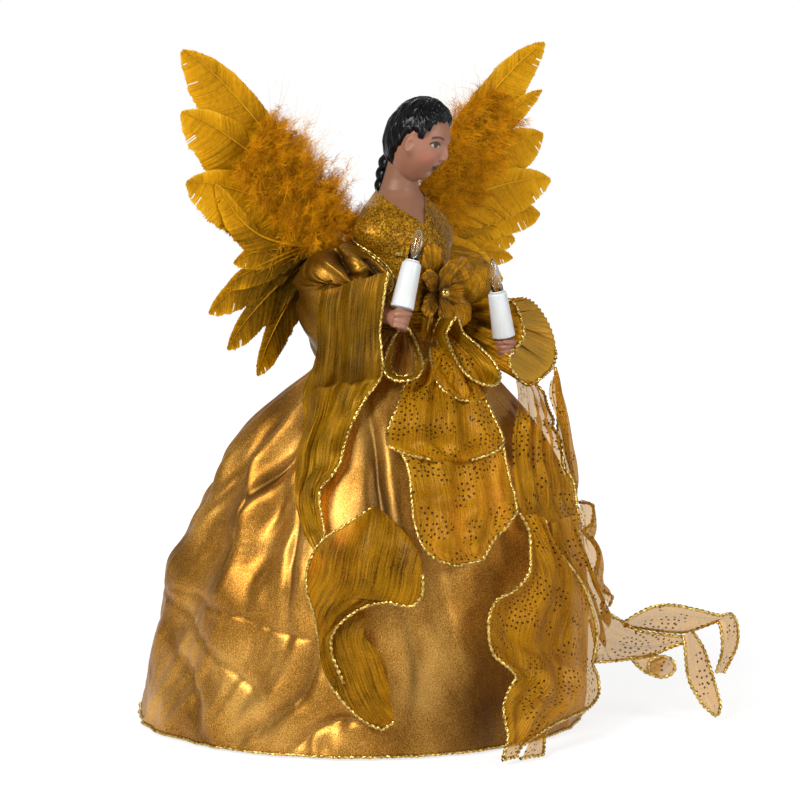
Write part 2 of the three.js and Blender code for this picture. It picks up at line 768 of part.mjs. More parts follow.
function filament() {
  const foot = collarTop - BULB_RECESS + SEAT_GAP;
  const rise = BULB_LENGTH * 0.45;
  const half = 0.9;
  const hoop = through([
    vec(-half, 0, foot),
    vec(-half, 0, foot + rise * 0.6),
    vec(-half * 0.7, 0, foot + rise * 0.9),
    vec(0, 0, foot + rise),
    vec(half * 0.7, 0, foot + rise * 0.9),
    vec(half, 0, foot + rise * 0.6),
    vec(half, 0, foot),
  ]);
  return bar(hoop, 0.25, 10, 4);
}

// Sleeve puff: a gathered balloon of satin round the arm, flatter towards the torso
const PUFF_FOLDS = 6;
const PUFF_FOLD_DEPTH = 0.1; // share of the radius
const PUFF_WALL = 1.2;
const PUFF_NECK = ARM_RADIUS + 2.5 * SEAT_GAP + PUFF_WALL; // where it is gathered at each end
// [share of the arm, how far the puff stands out beyond its neck]
const PUFF = [
  [0.1, 0],
  [0.2, 6.5],
  [0.34, 10.5],
  [0.5, 11.5],
  [0.66, 10],
  [0.8, 5.5],
  [0.88, 0],
];
const PUFF_POINTS = 3 * PUFF_FOLDS;
function sleevePuff(arm) {
  const ring = (share, outer) => {
    const frame = armFrame(arm, share);
    return Array.from({ length: PUFF_POINTS }, (_, i) => {
      const turn = (2 * Math.PI * i) / PUFF_POINTS;
      const out = frame.first.clone().multiplyScalar(Math.cos(turn));
      out.addScaledVector(frame.second, Math.sin(turn));
      const inward = Math.max(0, -arm.side * out.x);
      const fold = 1 + PUFF_FOLD_DEPTH * Math.cos(PUFF_FOLDS * turn) * Math.sin(Math.PI * share);
      const full = PUFF_NECK + between(PUFF, share)[0] * (1 - 0.3 * inward) * fold;
      return frame.middle.clone().addScaledVector(out, outer ? full : full - PUFF_WALL);
    });
  };
  const shares = PUFF.map((row) => row[0]);
  return loft(
    [...shares.map((s) => ring(s, true)), ...shares.map((s) => ring(s, false)).reverse()],
    true,
  );
}

// Cloth between two edges, each a row of points over the skirt
const level = (hundredths) => (WAIST_HEIGHT * hundredths) / 100;
const along = (points) => through(points.map(([turn, height, lift]) => vec(turn, level(height), lift)));
function drape(first, second, { rows, columns, waves = 0, depth = 0 }) {
  const edges = [along(first), along(second)];
  const grid = Array.from({ length: rows + 1 }, (_, i) => {
    const [a, b] = edges.map((edge) => edge.getPoint(i / rows));
    return Array.from({ length: columns + 1 }, (_, j) => {
      const share = j / columns;
      const p = a.clone().lerp(b, share);
      const ripple = depth * (1 - Math.cos(2 * Math.PI * waves * share)) * 0.5;
      return overSkirt([p.x, p.y, p.z + ripple]);
    });
  });
  return sheet(grid);
}

// Edges of the drapes: [degrees from the front, height in hundredths of the waist's, lift over the
// skirt's crests]
const DRAPES = {
  right_sleeve_drape: {
    first: [
      [-86, 110.8, 47],
      [-87, 99.5, 47],
      [-88, 91.7, 29],
      [-91, 85.3, 18],
      [-88, 76.5, 3],
      [-84, 68.6, 0.6],
      [-80, 59.8, 0.4],
      [-74, 52, 0.4],
    ],
    second: [
      [-55, 113.2, 36],
      [-59, 101, 37],
      [-60, 92.2, 19],
      [-62, 86.3, 8],
      [-66, 77.5, 2],
      [-69, 69.6, 1],
      [-71, 60.8, 0.6],
      [-69, 53.9, 0.6],
    ],
    rows: 12,
    columns: 5,
    waves: 2,
    depth: 2.5,
  },
  right_sleeve_flounce: {
    first: [
      [-55, 59.8, 0.3],
      [-63, 56.4, 4.5],
      [-70, 50.5, 5],
      [-72, 44.1, 3.5],
      [-71, 36.3, 1.5],
      [-68, 28.4, 1],
      [-65, 20.6, 1],
      [-60, 15.2, 2],
      [-51, 8.8, 5],
    ],
    second: [
      [-51.4, 59.3, 0.2],
      [-44, 53.4, 5],
      [-41, 46.6, 8],
      [-42, 40.7, 10],
      [-52, 37.7, 8],
      [-59, 32.4, 4],
      [-56, 26.5, 4],
      [-51, 21.6, 6],
      [-48, 10.8, 7],
    ],
    rows: 14,
    columns: 5,
    waves: 1,
    depth: 3,
  },
  front_drape: {
    first: [
      [-12, 96.6, 0.4],
      [-30, 94.1, 3],
      [-42, 89.2, 3],
      [-50, 82.4, 3],
      [-52, 76, 3],
      [-46, 72.5, 3.5],
      [-33, 68.6, 4],
    ],
    second: [
      [4, 96.6, 0.4],
      [6, 91.2, 4],
      [0, 85.3, 4],
      [0, 80.4, 4],
      [0, 75.5, 4.5],
      [-8, 72.5, 4.5],
      [-20, 69.6, 4.5],
    ],
    rows: 9,
    columns: 6,
    waves: 3,
    depth: 1.5,
  },
  front_drape_tail: {
    first: [
      [-44, 72.5, 0.4],
      [-43, 66.7, 1],
      [-43, 61.8, 1],
      [-42, 56.9, 1],
      [-40, 52, 1],
      [-36, 48.5, 1.5],
      [-28, 46.6, 0.4],
    ],
    second: [
      [1, 71.6, 0.4],
      [0, 67.6, 0.4],
      [-2, 61.8, 1],
      [-2, 57.4, 1],
      [-9, 54.9, 1.5],
      [-16, 52, 2],
      [-23, 47.5, 0.4],
    ],
    rows: 9,
    columns: 7,
    waves: 3,
    depth: 1.2,
  },
  left_sleeve_drape: {
    first: [
      [38, 108.8, 42],
      [41, 100, 42],
      [43, 91.2, 28],
      [46, 81.4, 12],
      [44, 71.6, 5],
      [38, 62.7, 1.5],
      [25, 54.9, 0.4],
    ],
    second: [
      [38, 111.8, 54],
      [43, 102, 60],
      [45, 93.1, 46],
      [45, 82.4, 26],
      [44, 73.5, 18],
      [41, 64.7, 12],
      [30, 54.9, 4],
    ],
    rows: 9,
    columns: 4,
    waves: 1,
    depth: 2,
  },
  trailing_ribbon: {
    first: [
      [24, 41.2, 2.9],
      [34, 36.3, 8],
      [40, 32.4, 24],
      [43, 33.3, 44],
      [45, 32.4, 66],
      [46, 28.4, 76],
    ],
    second: [
      [26, 28.4, 6.2],
      [34, 24, 11],
      [40, 21.6, 26],
      [43, 22.5, 46],
      [45, 17.6, 64],
      [46, 4.4, 62],
    ],
    rows: 9,
    columns: 4,
    waves: 1,
    depth: 3,
  },
  side_drape: {
    first: [
      [0, 52, 0.1],
      [0, 46.6, 0.1],
      [-13, 39.2, 2],
      [-20, 32.4, 3],
      [-18, 24.5, 4],
      [-12, 19.6, 5],
      [-16, 13.7, 8],
      [-18, 8.8, 12],
      [-22, 1.5, 26],
    ],
    second: [
      [17, 52, 0.4],
      [20, 43.1, 2],
      [25, 35.3, 3],
      [28, 27.9, 5],
      [24, 20.6, 7],
      [24, 15.7, 8],
      [14, 9.8, 12],
      [0, 6.9, 14],
      [-14, 3.4, 20],
    ],
    rows: 14,
    columns: 6,
    waves: 2,
    depth: 3,
  },
};

// Clothes on the body

// Wrapped bodice: each half runs from the middle of the back over the front of the other half
const BODICE_FOOT = 10.6; // above the waist, clear of the sash
const BODICE_TOP = 63;
const WRAP_OVER = 1; // facets of the figure that it crosses the middle by
// [distance past the middle, height above the waist] along the V neck
const NECKLINE = [
  [-26, 26],
  [-6, 40],
  [3, 50],
  [9, BODICE_TOP],
];
function bodice(side, lift) {
  const rises = [BODICE_FOOT, ...FIGURE.map((row) => row[0]).filter((rise) => rise > BODICE_FOOT)];
  const grid = rises
    .filter((rise) => rise <= BODICE_TOP)
    .map((rise) =>
      Array.from({ length: FIGURE_POINTS / 2 + WRAP_OVER + 1 }, (_, j) =>
        onFigure((side * 360 * (j - WRAP_OVER)) / FIGURE_POINTS, rise, lift),
      ),
    );
  const opening = new THREE.Shape(NECKLINE.map(([x, rise]) => new THREE.Vector2(side * x, rise)));
  for (const [x] of [NECKLINE.at(-1), NECKLINE[0]]) opening.lineTo(side * x, 2 * BODICE_TOP);
  const cutter = new THREE.ExtrudeGeometry(opening, { depth: 4 * HEAD_DEPTH, bevelEnabled: false });
  cutter.rotateX(Math.PI / 2).translate(0, 0, WAIST_HEIGHT);
  return geometryOf(solidOf(sheet(grid)).subtract(armHole()).subtract(solidOf(cutter)));
}

// Crinkled sash over the gathered top of the skirt
const SASH_PLEAT = 0.35;
const SASH_EDGE = 1.4; // edges and middle off the torso
const SASH_MIDDLE = 2.2;
function sash() {
  const pleat = (i) => SASH_PLEAT * (i % 2);
  const band = (rise, lift, crinkled) =>
    Array.from({ length: FIGURE_POINTS }, (_, i) =>
      onFigure((360 * i) / FIGURE_POINTS, rise, lift + (crinkled ? pleat(i) : 0)),
    );
  const foot = 2 * SEAT_GAP;
  const top = BODICE_FOOT - 2 * SEAT_GAP;
  const middle = (foot + top) / 2;
  const rings = [band(foot, SASH_EDGE, true), band(middle, SASH_MIDDLE, true), band(top, SASH_EDGE, true)];
  return loft([...rings, band(top, SEAT_GAP, false), band(foot, SEAT_GAP, false)], true);
}

// Flower of ribbon petals at the front of the waist, round a gold ball
const FLOWER_RISE = 20;
const FLOWER_RADIUS = 18;
const FLOWER_CUP = 5.5;
const PETALS = 5;
const PETAL_POINTS = 5;
const FLOWER_EYE = 2;
const PETAL_NOTCH = 0.32; // share of the radius between petals
const PETAL_RUFFLE = 1.1;
const BALL_RADIUS = 2.6;
function flower() {
  const ring = (share, back) =>
    Array.from({ length: PETALS * PETAL_POINTS }, (_, i) => {
      const turn = (2 * Math.PI * i) / (PETALS * PETAL_POINTS);
      const lobe = Math.abs(Math.cos((PETALS / 2) * turn)) ** 0.8;
      const full = FLOWER_RADIUS * lerp(1 - PETAL_NOTCH, 1, lobe);
      const radius = lerp(FLOWER_EYE, full, share);
      const ruffle = PETAL_RUFFLE * share * Math.cos(2 * PETALS * turn);
      const z = FLOWER_CUP * share ** 1.2 + ruffle + (back ? 0 : CLOTH);
      return vec(radius * Math.sin(turn), radius * Math.cos(turn), z);
    });
  const shares = [0, 0.3, 0.65, 1];
  return loft(
    [...shares.map((s) => ring(s, true)), ...shares.map((s) => ring(s, false)).reverse()],
    true,
  );
}

function flowerBall() {
  const shank = FLOWER_EYE - SEAT_GAP;
  const middle = CLOTH + SEAT_GAP + BALL_RADIUS;
  const arc = [-42, -15, 15, 45, 70].map(rad).map((turn) => [
    BALL_RADIUS * Math.cos(turn),
    middle + BALL_RADIUS * Math.sin(turn),
  ]);
  return turned([[0, 0], [shank, 0], [shank, arc[0][1]], ...arc, [0, middle + BALL_RADIUS]], 12);
}

// Cut gold bead sewn on the wrap
function chestBead() {
  const [width, height, depth, bevel] = [3.2, 1.8, 0.8, 0.5];
  const outline = new THREE.Shape([
    new THREE.Vector2(-width / 2, -height / 2),
    new THREE.Vector2(width / 2, -height / 2),
    new THREE.Vector2(width / 2, height / 2),
    new THREE.Vector2(-width / 2, height / 2),
  ]);
  return new THREE.ExtrudeGeometry(outline, {
    depth,
    bevelSize: bevel,
    bevelThickness: bevel,
    bevelSegments: 1,
  }).translate(0, 0, bevel);
}

// Loops of wired ribbon below the flower: degrees from the front, height in hundredths of the
// waist's, half width in degrees, half height in hundredths, lift of the inner edge over the skirt
const LOOPS = {
  right_ribbon_loop: [-45, 95.3, 11, 4.4, 4.7],
  left_ribbon_loop: [-4, 95.1, 13, 4.4, 6.8],
};
const LOOP_WIDTH = 6;
function ribbonLoop([degrees, height, wide, tall, lift]) {
  const steps = 18;
  const rings = Array.from({ length: steps }, (_, i) => {
    const turn = (2 * Math.PI * i) / steps;
    const point = (grow, rise) =>
      overSkirt([
        degrees + wide * grow * Math.cos(turn),
        level(height + tall * grow * Math.sin(turn)),
        lift + rise,
      ]);
    const full = 1 + CLOTH / level(tall);
    return [point(1, 0), point(1, LOOP_WIDTH), point(full, LOOP_WIDTH), point(full, 0)];
  });
  return loft(rings, true);
}

// Wings

// [tip from the middle, tip above the waist, width, layer, root from the middle, root above the waist]
const FEATHERS = {
  right: [
    [124, 143, 32, 2, 30, 51],
    [127, 113, 33, 1, 29, 48.5],
    [126, 79, 32, 0, 28, 46.5],
    [112, 14, 23, 1, 28, 45.6],
    [99, -5, 22, 2, 29, 42.5],
    [78, -20, 20, 3, 30, 40.5],
  ],
  left: [
    [134, 152, 29, 2, 30, 52.2],
    [133, 102, 32, 1, 29, 50.4],
    [138, 77, 28, 0, 28, 49.5],
    [133, 58, 24, 2, 28, 48.8],
    [114, 44, 22, 3, 29, 45.5],
    [102, 22, 20, 1, 28.4, 48.2],
  ],
};
const FEATHER_BOW = 0.05; // share of the length
const LEADING_SHARE = 0.6; // of the half width, above the quill
const TRAILING_SHARE = 1.4; // of the half width, below it
const QUILL_HALF_WIDTH = 1.3;
// [share of the length, share of the half width]
const VANE_OUTLINE = [
  [0, 0],
  [0.08, 0],
  [0.18, 0.36],
  [0.32, 0.78],
  [0.48, 0.97],
  [0.64, 1],
  [0.78, 0.95],
  [0.89, 0.78],
  [0.96, 0.48],
  [1, 0.1],
];

// One feather: two flat vanes on a raised quill, bowed towards its upper edge
function feather(side, [tipX, tipRise, width, layer, rootX, rootRise]) {
  const y = WING_PLANE + layer * FEATHER_PITCH;
  const root = vec(side * rootX, y, WAIST_HEIGHT + rootRise);
  const tip = vec(side * tipX, y, WAIST_HEIGHT + tipRise);
  const axis = tip.clone().sub(root);
  const across = vec(-side * axis.z, 0, side * axis.x).normalize();
  const bow = axis.length() * FEATHER_BOW;
  return loft(
    VANE_OUTLINE.map(([share, spread]) => {
      const middle = root.clone().addScaledVector(axis, share);
      middle.addScaledVector(across, bow * Math.sin(Math.PI * share));
      const half = Math.max(QUILL_HALF_WIDTH * (1 - 0.7 * share), (spread * width) / 2);
      const quill = QUILL_RADIUS * (1 - 0.5 * share);
      const below = half * TRAILING_SHARE;
      const above = half * LEADING_SHARE;
      const section = [
        [-below, 0],
        [-below / 2, -VANE],
        [0, -quill],
        [above / 2, -VANE],
        [above, 0],
        [0, VANE],
      ];
      return section.map(([u, v]) => middle.clone().addScaledVector(across, u).add(vec(0, v, 0)));
    }),
  );
}

const FEATHER_LAYERS = 4;
const cardFront = WING_PLANE + (FEATHER_LAYERS - 1) * FEATHER_PITCH + VANE + SEAT_GAP;
const cardBack = cardFront + CARD_THICKNESS;

// Stiff card behind the roots, a rounded leaf, measured from the middle and above the waist:
// where it starts, then the corner that each curve bends towards and the point that it reaches
const CARD_START = [24, 38];
const CARD_CURVES = [
  [42, 24, 58, 40],
  [74, 60, 62, 82],
  [38, 76, 24, 56],
];
function wingCard(side) {
  const leaf = new THREE.Shape();
  leaf.moveTo(side * CARD_START[0], CARD_START[1]);
  for (const [bendX, bendZ, x, z] of CARD_CURVES) leaf.quadraticCurveTo(side * bendX, bendZ, side * x, z);
  leaf.closePath();
  const plate = new THREE.ExtrudeGeometry(leaf, {
    depth: CARD_THICKNESS,
    bevelEnabled: false,
    curveSegments: 5,
  });
  return plate.rotateX(Math.PI / 2).translate(0, cardBack, WAIST_HEIGHT);
}

// Down over the roots: a pad that swells along the wing
// [share of the length, half height]
const DOWN_OUTLINE = [
  [0, 5],
  [0.15, 12],
  [0.4, 17],
  [0.65, 17],
  [0.88, 11],
  [1, 4],
];
// root and tip of the pad from the middle and above the waist
const DOWN = { right: [[32, 50], [98, 106]], left: [[32, 54], [92, 118]] };
function marabou(side, [[rootX, rootRise], [tipX, tipRise]]) {
  const middleY = WING_PLANE - QUILL_RADIUS - SEAT_GAP - MARABOU_THICKNESS / 2;
  const root = vec(side * rootX, middleY, WAIST_HEIGHT + rootRise);
  const axis = vec(side * tipX, middleY, WAIST_HEIGHT + tipRise).sub(root);
  const across = vec(-axis.z, 0, axis.x).normalize();
  const points = 12;
  return loft(
    DOWN_OUTLINE.map(([share, half]) => {
      const middle = root.clone().addScaledVector(axis, share);
      const thick = (MARABOU_THICKNESS / 2) * Math.min(1, 0.45 + half / 20);
      return Array.from({ length: points }, (_, i) => {
        const turn = (2 * Math.PI * i) / points;
        const tuft = 1 + 0.12 * Math.cos(3 * turn + 5 * share);
        const p = middle.clone().addScaledVector(across, half * tuft * Math.cos(turn));
        const front = Math.sin(turn);
        const back = (MARABOU_THICKNESS / 2) * Math.max(0, front) ** 0.3;
        return p.add(vec(0, front > 0 ? back : front * thick, 0));
      });
    }),
  );
}

// Bent wire that carries both wings on the back of the bodice
const WING_SEAT_DROP = 4; // below the shoulder wire
// [from the middle, above the seat, share of the way back to the cards]
const WING_WIRE = [
  [11, 1, 0.45],
  [22, 4, 1],
  [40, 12, 1],
  [57, 30, 1],
];
function wingWire() {
  const behind = cardBack + SEAT_GAP + CORD_RADIUS;
  const seat = onFigure(180, ARM_RISE - WING_SEAT_DROP, 2 * BODICE_LAYER + SEAT_GAP + CORD_RADIUS);
  const half = (side) =>
    WING_WIRE.map(([x, rise, share]) => vec(side * x, lerp(seat.y, behind, share), seat.z + rise));
  return bar(through([...half(-1).reverse(), seat, ...half(1)]), CORD_RADIUS, 24, 5);
}

// The body of the figure
piece("skirt_form", cone(), "board");
piece("tree_socket", treeSocket(), "plastic");
piece("skirt", skirt(), "satin");
piece("skirt_hem_braid", hemBraid(), "gold");
piece("torso_core", torso(), "foam");
piece("head", head(), "skin", headGroup);
piece("hair", hair(), "hair", headGroup);
piece("braid", braid(), "hair");
piece("arm_wire", armWire(), "wire");
piece("lead_splice", spliceBody(), "plastic").position.copy(splice);

for (const arm of ARMS) {
  piece(`${arm.name}_lamp_lead`, lampLead(arm), "lead");
  piece(`${arm.name}_arm`, bar(arm.path, ARM_RADIUS, 11, 8, ARM_BORE), "foam");
  piece(`${arm.name}_hand`, hand(arm), "skin", arm.group);
  piece(`${arm.name}_candle`, candle(), "candle", arm.group);
  piece(`${arm.name}_bulb_base`, bulbBase(), "holder", arm.group);
  piece(`${arm.name}_bulb_glass`, bulbGlass(), "glass", arm.group);
  piece(`${arm.name}_filament`, filament(), "filament", arm.group);
  piece(`${arm.name}_sleeve_puff`, sleevePuff(arm), "satin");
}

// Clothes
for (const [name, { first, second, ...form }] of Object.entries(DRAPES)) {
  const finish = name.startsWith("right") ? "crinkle" : "organza";
  piece(name, drape(first, second, form), finish);
}
piece("left_bodice", bodice(1, SEAT_GAP), "glitter");
piece("right_bodice", bodice(-1, SEAT_GAP + BODICE_LAYER), "glitter");
piece("waist_sash", sash(), "crinkle");

const flowerGroup = new THREE.Group();
flowerGroup.position.copy(onFigure(0, FLOWER_RISE, 2 * (BODICE_LAYER + SEAT_GAP)));
flowerGroup.rotation.x = Math.PI / 2;
model.add(flowerGroup);
piece("waist_flower", flower(), "crinkle", flowerGroup);
piece("flower_ball", flowerBall(), "gold", flowerGroup);

const BEAD_TURN = -52;
const BEAD_RISE = 40;
const bead = piece("chest_bead", chestBead(), "gold");
bead.position.copy(onFigure(BEAD_TURN, BEAD_RISE, 2 * BODICE_LAYER + SEAT_GAP));
bead.rotation.set(Math.PI / 2, rad(BEAD_TURN), 0, "ZXY");

const ARMHOLE_RADIUS = 8.6;
for (const arm of ARMS) {
  const ring = new THREE.TorusGeometry(ARMHOLE_RADIUS, CORD_RADIUS, 5, 18).rotateY(Math.PI / 2);
  const mesh = piece(`${arm.name}_armhole_braid`, ring, "gold");
  const layers = arm.side < 0 ? 2 : 1;
  const flank = FIGURE[5][1] + layers * BODICE_LAYER + SEAT_GAP + CORD_RADIUS;
  mesh.position.set(arm.side * flank, 0, arm.root.z);
}
for (const [name, loop] of Object.entries(LOOPS)) piece(name, ribbonLoop(loop), "crinkle");

// Wings
piece("wing_wire", wingWire(), "wire");
for (const { name, side } of ARMS) {
  FEATHERS[name].forEach((row, i) => {
    piece(`${name}_wing_feather_${i + 1}`, feather(side, row), "feather");
  });
  piece(`${name}_wing_card`, wingCard(side), "card");
  piece(`${name}_wing_marabou`, marabou(side, DOWN[name]), "down");
}

export default model;
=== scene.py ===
"""Looks of the angel tree topper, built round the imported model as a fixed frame.

Sizes are in millimetres until a mesh is made, and the frame is in metres. The figure faces -Y,
its own left is +X, and heights are above the resting plane.
"""
import math

import bpy
import numpy as np
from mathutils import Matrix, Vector


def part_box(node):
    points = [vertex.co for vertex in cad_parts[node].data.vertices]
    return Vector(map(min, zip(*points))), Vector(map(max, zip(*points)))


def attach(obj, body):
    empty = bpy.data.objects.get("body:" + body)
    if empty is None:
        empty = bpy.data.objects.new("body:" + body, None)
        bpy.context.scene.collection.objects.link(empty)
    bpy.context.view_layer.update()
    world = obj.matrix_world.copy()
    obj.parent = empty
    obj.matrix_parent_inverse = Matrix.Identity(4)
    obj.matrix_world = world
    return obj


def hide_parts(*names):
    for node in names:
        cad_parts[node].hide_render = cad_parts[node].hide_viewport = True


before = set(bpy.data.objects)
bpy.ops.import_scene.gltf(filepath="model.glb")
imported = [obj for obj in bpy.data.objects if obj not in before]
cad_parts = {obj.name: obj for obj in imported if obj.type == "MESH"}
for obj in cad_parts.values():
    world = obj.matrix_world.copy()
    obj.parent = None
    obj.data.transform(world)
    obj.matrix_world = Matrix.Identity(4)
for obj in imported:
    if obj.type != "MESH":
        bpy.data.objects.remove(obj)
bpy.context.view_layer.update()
MM = 0.001
UP = np.array([0, 0, 1.0])
BACK = np.array([0, 1.0, 0])

# Driving sizes, the same as the solids'
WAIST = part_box("skirt")[1].z / MM
SKIRT_TOP_RADIUS = 17.975
HEM_RADIUS = 116
HEM_LIFT = 1
TRAIN = 32
FOLD_DEPTH = 3.5
WAIST_FOLD_SHARE = 0.25
CLOTH = 0.8
CORD_RADIUS = 0.75
CORD_PITCH = 3
CORD_TWIST = 0.34  # depth of the grooves between a cord's strands, as a share of its radius
CORD_STEPS = 8  # places along one pitch of the cord
ARM_RISE = 46
WING_PLANE = 24.5
FEATHER_PITCH = 1.4
SIDES = {"right": -1, "left": 1}

# Small tools: curves, noise and grids

LATTICE = np.random.default_rng(5).uniform(-1, 1, (64, 64))
SEED_STEP = (13.7, 29.3)  # from one seed's noise to the next on the lattice
CURVE_STEPS = 24  # places worked out between two points of a curve
TUBE_TIP = 0.02  # radius where a tube is drawn to a point
PLEAT_WANDER = (9, 14)  # mm across and along a cloth over which its fine pleats wander and fade
PLEAT_FADE = (5, 20)


def rows(count, first=0, last=1):
    """Even values down the rows of a grid."""
    return np.linspace(first, last, count)[:, None]


def columns(count, first=0, last=1):
    """Even values over the columns of a grid."""
    return np.linspace(first, last, count)[None, :]


def turns(count):
    """Angles of one full turn, without its end."""
    return np.linspace(0, 2 * np.pi, count, endpoint=False)


def grid_of(x, y, z):
    """Points from coordinates of any shapes that fit together."""
    return np.stack(np.broadcast_arrays(x, y, z), -1)


def spun(x, y, turn):
    """A pair of coordinates turned about their origin."""
    return x * math.cos(turn) - y * math.sin(turn), x * math.sin(turn) + y * math.cos(turn)


def smooth(share):
    share = np.clip(share, 0, 1)
    return share * share * (3 - 2 * share)


def ripple(x, y, seed):
    """Smooth noise from -1 to 1 over a plane, about one bump to a unit."""
    x = np.asarray(x, float) + SEED_STEP[0] * seed
    y = np.asarray(y, float) + SEED_STEP[1] * seed
    x, y = np.broadcast_arrays(x, y)
    column, row = np.floor(x).astype(int), np.floor(y).astype(int)
    u, v = smooth(x - column), smooth(y - row)

    def corner(right, up):
        return LATTICE[(column + right) % len(LATTICE), (row + up) % len(LATTICE)]

    low = corner(0, 0) * (1 - u) + corner(1, 0) * u
    high = corner(0, 1) * (1 - u) + corner(1, 1) * u
    return low * (1 - v) + high * v


def hump(distance, spread):
    return np.exp(-((distance / spread) ** 2))


def unit(vectors):
    return vectors / np.maximum(np.linalg.norm(vectors, axis=-1, keepdims=True), 1e-9)


def lengths(path):
    """Distance along a path at each of its points."""
    return np.r_[0, np.cumsum(np.linalg.norm(np.diff(path, axis=0), axis=1))]


def curve(points, count):
    """Smooth curve through points, as evenly spaced places."""
    p = np.asarray(points, float)
    p = np.vstack([2 * p[0] - p[1], p, 2 * p[-1] - p[-2]])
    t = np.linspace(0, 1, CURVE_STEPS, endpoint=False)[:, None]
    fine = []
    for a, b, c, d in zip(p, p[1:], p[2:], p[3:]):
        fine.append(b + 0.5 * t * (c - a + t * (2 * a - 5 * b + 4 * c - d + t * (3 * (b - c) + d - a))))
    fine = np.vstack([*fine, p[-2]])
    along = lengths(fine)
    even = np.linspace(0, along[-1], count)
    return np.column_stack([np.interp(even, along, column) for column in fine.T])


def between(table, key):
    """Values of a table of [key, value, ...] rows at many keys, straight between its rows."""
    keys, *values = np.asarray(table, float).T
    return [np.interp(key, keys, value) for value in values]


def frames(path):
    """Direction and two steady cross directions at each point of a path."""
    tangent = unit(np.gradient(path, axis=0))
    start = UP if abs(tangent[0][2]) < 0.9 else np.array([1.0, 0, 0])
    first = np.empty_like(tangent)
    for i, direction in enumerate(tangent):
        start = start - direction * (start @ direction)
        start = start / np.linalg.norm(start)
        first[i] = start
    return tangent, first, np.cross(tangent, first)


def surface(grid, around=False):
    """Points and faces of a grid, joined last column to first where it goes around."""
    height, width, _ = grid.shape
    low = np.arange(height - 1)[:, None] * width
    high = low + width
    left = np.arange(width if around else width - 1)
    right = (left + 1) % width
    corners = np.broadcast_arrays(low + left, low + right, high + right, high + left)
    return grid.reshape(-1, 3), np.stack(corners, -1).reshape(-1, 4)


def tube(path, radius, sides, lobes=0):
    """Tube along a path; lobes wind round it as the strands of a twisted cord do."""
    path = np.asarray(path, float)
    _, first, second = frames(path)
    turn = turns(sides)
    radius = np.broadcast_to(radius, len(path))[:, None] * np.ones(sides)
    if lobes:
        twist = lobes * turn - 2 * np.pi * lengths(path)[:, None] / CORD_PITCH
        radius = radius * (1 + CORD_TWIST * np.cos(twist))
    out = np.cos(turn)[:, None] * first[:, None] + np.sin(turn)[:, None] * second[:, None]
    return surface(path[:, None] + radius[..., None] * out, True)


def closed_tube(path, radius, sides):
    """Tube whose ends are drawn to a point."""
    path = np.asarray(path, float)
    radius = np.broadcast_to(radius, len(path))
    path = np.vstack([path[:1], path, path[-1:]])
    path[0] += (path[1] - path[2]) * 1e-3
    path[-1] += (path[-2] - path[-3]) * 1e-3
    return tube(path, np.r_[TUBE_TIP, radius, TUBE_TIP], sides)


def strips(paths, side, half):
    """Flat strips along many paths at once: points (n, k, 3), side vectors, half widths."""
    count, steps, _ = paths.shape
    half = side * np.broadcast_to(half, (count, steps))[..., None]
    points = np.stack([paths - half, paths + half], 2).reshape(-1, 3)
    base = (np.arange(count)[:, None] * steps + np.arange(steps - 1)) * 2
    return points, np.stack([base, base + 1, base + 3, base + 2], -1).reshape(-1, 4)


def turned(profile, segments):
    """Turned surface about +Z from a profile of [radius, height]."""
    turn = turns(segments)
    radius, height = np.asarray(profile, float).T[..., None]
    return surface(grid_of(radius * np.cos(turn), radius * np.sin(turn), height), True)


def normals(grid):
    along = np.gradient(grid, axis=0)
    across = np.gradient(grid, axis=1)
    return unit(np.cross(across, along))


def area(grid):
    diagonal_1 = grid[1:, 1:] - grid[:-1, :-1]
    diagonal_2 = grid[1:, :-1] - grid[:-1, 1:]
    return 0.5 * np.linalg.norm(np.cross(diagonal_1, diagonal_2), axis=-1).sum()


# Pieces

FINISH = {}


def joined(parts):
    """Points and faces of several parts as one."""
    faces, start = [], 0
    for points, corners in parts:
        faces += (corners + start).tolist()
        start += len(points)
    return np.concatenate([points for points, _ in parts]), faces


def put_in_scene(name, data):
    thing = bpy.data.objects.new(name, data)
    bpy.context.scene.collection.objects.link(thing)
    return thing


def piece(name, parts, finish, nodes=(), body="angel", shade=None, cloth=None, colour=None):
    """One object from parts, each a pair of points in mm and faces, riding on a body."""
    points, faces = joined(parts)
    mesh = bpy.data.meshes.new(name)
    mesh.from_pydata((points * MM).tolist(), [], faces)
    mesh.polygons.foreach_set("use_smooth", [True] * len(mesh.polygons))
    if shade is not None:
        mesh.attributes.new("shade", "FLOAT", "POINT").data.foreach_set("value", np.ravel(shade))
    if cloth is not None:
        flat = np.column_stack([cloth, np.zeros(len(cloth))])
        mesh.attributes.new("cloth", "FLOAT_VECTOR", "POINT").data.foreach_set("vector", flat.ravel())
    if colour is not None:
        full = np.column_stack([colour, np.ones(len(colour))])
        mesh.attributes.new("paint", "FLOAT_COLOR", "POINT").data.foreach_set("color", full.ravel())
    mesh.materials.append(FINISH[finish])
    thing = put_in_scene(name, mesh)
    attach(thing, body)
    if nodes:
        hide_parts(*nodes)
    return thing


def gold_cord(name, paths, nodes=(), radius=CORD_RADIUS):
    """Two twisted strands of gold along one or more edges."""
    parts = []
    for path in paths:
        steps = int(lengths(path)[-1] / CORD_PITCH * CORD_STEPS)
        parts.append(tube(curve(path, max(CORD_STEPS, steps)), radius, 8, lobes=2))
    return piece(name, parts, "gold_braid", nodes)


